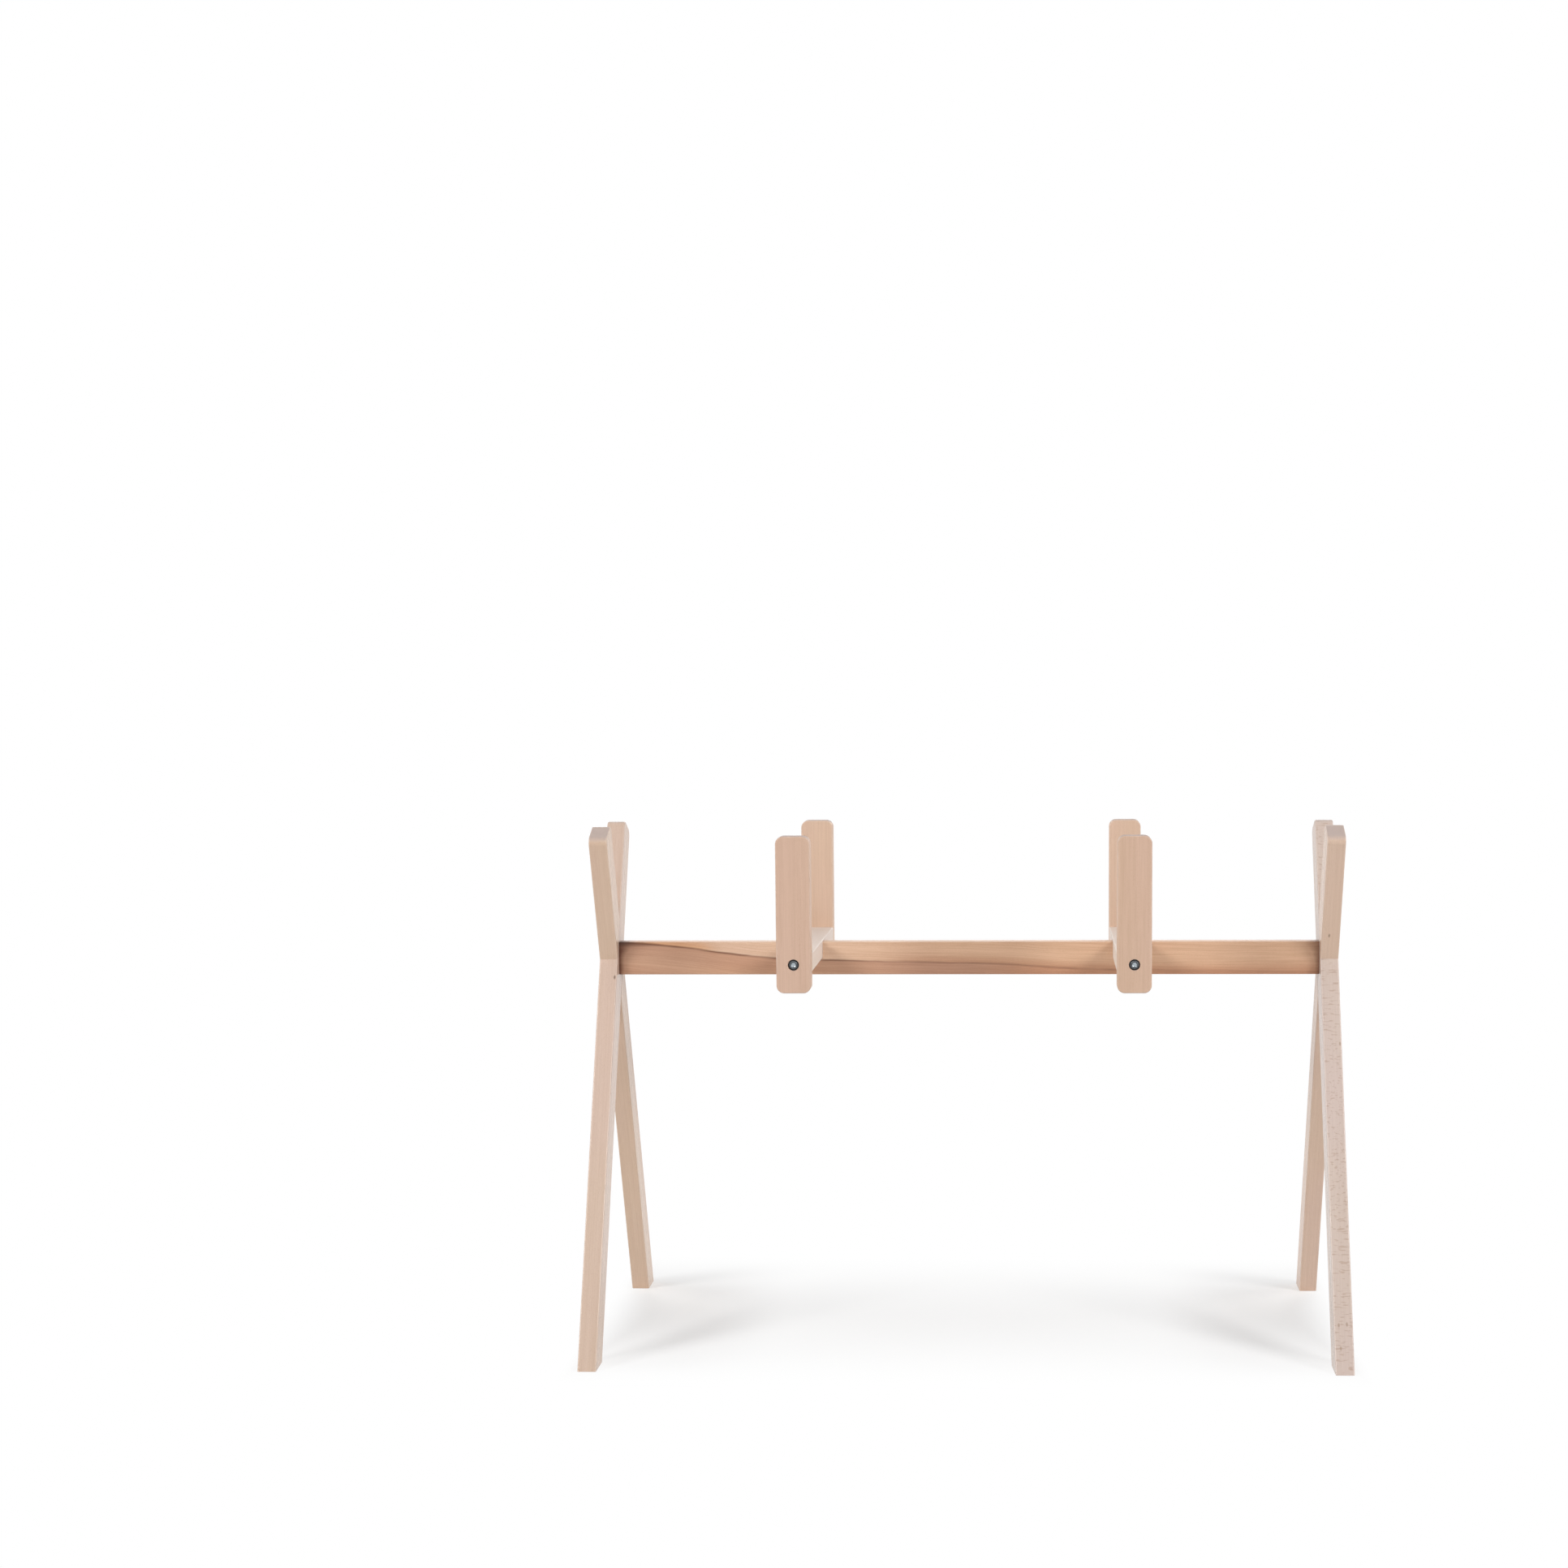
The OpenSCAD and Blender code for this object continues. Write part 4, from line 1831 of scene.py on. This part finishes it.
@dataclass
class Studio:
    """White studio with a pale floor, soft lamps and the camera.

    Attributes:
        ambient: Strength of the white surroundings as light.
        floor_colour: Colour of the floor.
        floor_size: Half width of the floor.
        shadow_x: Distances from the middle, along X, between which the floor fades to plain white.
        shadow_y: The same along Y, from the middle of the shadow.
        shadow_middle: Middle of the shadow along Y.
        veil: Share of plain white that the camera sees in the middle of the shadow.
        veil_x: Distances from the middle, along X, between which that share goes down to nothing.
        lens: Focal length on a 36 mm sensor, in millimetres.
        shift: Shift of the frame, as a share of its width.
        eye: Place of the camera.
        yaw: Turn of the camera to the right.
        pitch: Tilt of the camera downwards.
        roll: Turn of the camera about its own axis.
        lamps: Soft lamps.
    """

    ambient: float = 0.05
    floor_colour: Colour = (0.95, 0.95, 0.95)
    floor_size: float = 12.0
    shadow_x: Span = (0.4, 0.47)
    shadow_y: Span = (0.0, 0.34)
    shadow_middle: float = 0.05
    veil: float = 0.6
    veil_x: Span = (0.22, 0.36)
    lens: float = 60.02
    shift: Span = (-0.1004, 0.1071)
    eye: Place = (0.0844, -3.1795, 0.7975)
    yaw: float = -0.03664
    pitch: float = 0.104
    roll: float = 0.00472
    lamps: tuple[Softbox, ...] = (
        Softbox("left_front", (-4.7, -4.5, 3.9), 2.24, 2.24, 250.0),
        Softbox("right_front", (4.7, -4.5, 3.9), 2.24, 2.24, 250.0),
        Softbox("left_side", (-6.1, 0.65, 2.6), 3.84, 3.84, 107.0),
        Softbox("right_side", (6.1, 0.65, 2.6), 3.84, 3.84, 107.0),
        Softbox("front_top", (0.0, -4.3, 4.4), 4.0, 2.6, 10.0, aim=(0.0, 0.0, 0.4)),
        Softbox("overhead", (0.0, 0.3, 3.4), 2.4, 1.6, 8.0, aim=(0.0, 0.0, 0.0)),
        Softbox("rear", (0.0, 5.5, 3.0), 5.0, 2.6, 85.0),
    )

    def seen(self, sheet: NodeSheet) -> Value:
        """Tells what looks at a surface.

        Args:
            sheet: Sheet of the surface.

        Returns:
            1 where the camera, a gloss or a clear material looks, and 0 where light is gathered.
        """
        path = sheet.values(sheet.node("ShaderNodeLightPath").outputs)
        both = sheet.math("MAXIMUM", path["Is Camera Ray"], path["Is Glossy Ray"])
        return sheet.math("MAXIMUM", both, path["Is Transmission Ray"])

    def paint_surroundings(self) -> None:
        """Makes the surroundings white to look at and softer as light."""
        world = bpy.data.worlds.new("white_surroundings")
        world.use_nodes = True
        sheet = NodeSheet(world.node_tree)
        strength = self.seen(sheet) * (1.0 - self.ambient) + self.ambient
        backdrop = world.node_tree.nodes["Background"].inputs
        sheet.feed_all(backdrop, {"Color": (1.0, 1.0, 1.0), "Strength": strength})
        bpy.context.scene.world = world

    def floor_shader(self, sheet: NodeSheet) -> Value:
        """Draws the floor: matt in the stand's shadow, plain white around it and clear from below.

        Args:
            sheet: Sheet of the floor's material.

        Returns:
            The shader.
        """
        matt = sheet.output("ShaderNodeBsdfDiffuse", 0, self.floor_colour)
        white = sheet.output("ShaderNodeEmission", 0)
        clear = sheet.output("ShaderNodeBsdfTransparent", 0)
        x, y, _ = sheet.split(sheet.output("ShaderNodeTexCoord", "Object"))
        aside, ahead = abs(x), abs(y - self.shadow_middle)
        beside = aside.faded(Fade(*self.shadow_x, 1.0, 0.0))
        before = ahead.faded(Fade(*self.shadow_y, 1.0, 0.0))
        bare = aside.faded(Fade(*self.veil_x, 1.0 - self.veil, 1.0))
        shadow = sheet.math("MINIMUM", beside, before) * bare
        above = sheet.output("ShaderNodeMixShader", 0, (1.0 - shadow) * self.seen(sheet), matt, white)
        back = sheet.output("ShaderNodeNewGeometry", "Backfacing")
        return sheet.output("ShaderNodeMixShader", 0, back, above, clear)

    def lay_floor(self) -> None:
        """Lays the floor, which takes the stand's shadow and fades to plain white."""
        shape = bmesh.new()
        bmesh.ops.create_grid(shape, x_segments=1, y_segments=1, size=self.floor_size)
        floor = mesh_object("floor", shape)
        paint = bpy.data.materials.new("floor_white")
        paint.use_nodes = True
        nodes = paint.node_tree.nodes
        nodes.remove(nodes["Principled BSDF"])
        sheet = NodeSheet(paint.node_tree)
        sheet.feed(nodes["Material Output"].inputs["Surface"], self.floor_shader(sheet))
        floor.data.materials.append(paint)

    def set_camera(self) -> None:
        """Sets the camera up at the photograph's angle."""
        ahead = Vector((
            math.sin(self.yaw) * math.cos(self.pitch),
            math.cos(self.yaw) * math.cos(self.pitch),
            -math.sin(self.pitch),
        ))
        level = Vector((math.cos(self.yaw), -math.sin(self.yaw), 0))
        down = ahead.cross(level)
        sine, cosine = math.sin(self.roll), math.cos(self.roll)
        turn = columns(level * cosine + down * sine, level * sine - down * cosine, -ahead)
        camera = bpy.data.objects.new("camera", bpy.data.cameras.new("camera"))
        camera.data.lens = self.lens
        camera.data.shift_x, camera.data.shift_y = self.shift
        camera.matrix_world = Matrix.Translation(Vector(self.eye)) @ turn.to_4x4()
        bpy.context.scene.collection.objects.link(camera)
        bpy.context.scene.camera = camera

    def build(self) -> None:
        """Sets the whole studio up."""
        bpy.context.scene.view_settings.view_transform = "Standard"
        self.paint_surroundings()
        self.lay_floor()
        for lamp in self.lamps:
            lamp.hang()
        self.set_camera()


def main() -> None:
    """Builds the studio and the stand in order."""
    logging.basicConfig(level=logging.INFO, format="%(message)s")
    Studio().build()
    EndFrame(
        Side.LEFT,
        logs={Row.FRONT: Vector((0.09, 0.01, 0.2)), Row.REAR: Vector((-0.08, 0.03, 1.4))},
        finishes={Row.FRONT: LEG_BEECH, Row.REAR: STRAW_LEG_BEECH},
    ).build()
    EndFrame(
        Side.RIGHT,
        logs={Row.FRONT: Vector((-0.02, 0.11, 2.6)), Row.REAR: Vector((0.07, -0.04, 3.9))},
        finishes={Row.FRONT: FIGURED_BEECH, Row.REAR: PALE_LEG_BEECH},
    ).build()
    Beam(log=Vector((0.05, 0.04, 5.0))).build()
    Cradle(
        Side.LEFT,
        arm_log=Vector((0.02, 0.08, 6.2)),
        upright_logs={Row.FRONT: Vector((0.015, 0.06, 7.1)), Row.REAR: Vector((-0.02, 0.07, 8.3))},
    ).build()
    Cradle(
        Side.RIGHT,
        arm_log=Vector((-0.03, 0.07, 9.4)),
        upright_logs={Row.FRONT: Vector((0.03, 0.055, 10.7)), Row.REAR: Vector((0.0, 0.08, 11.9))},
    ).build()


if __name__ == "__main__":
    main()
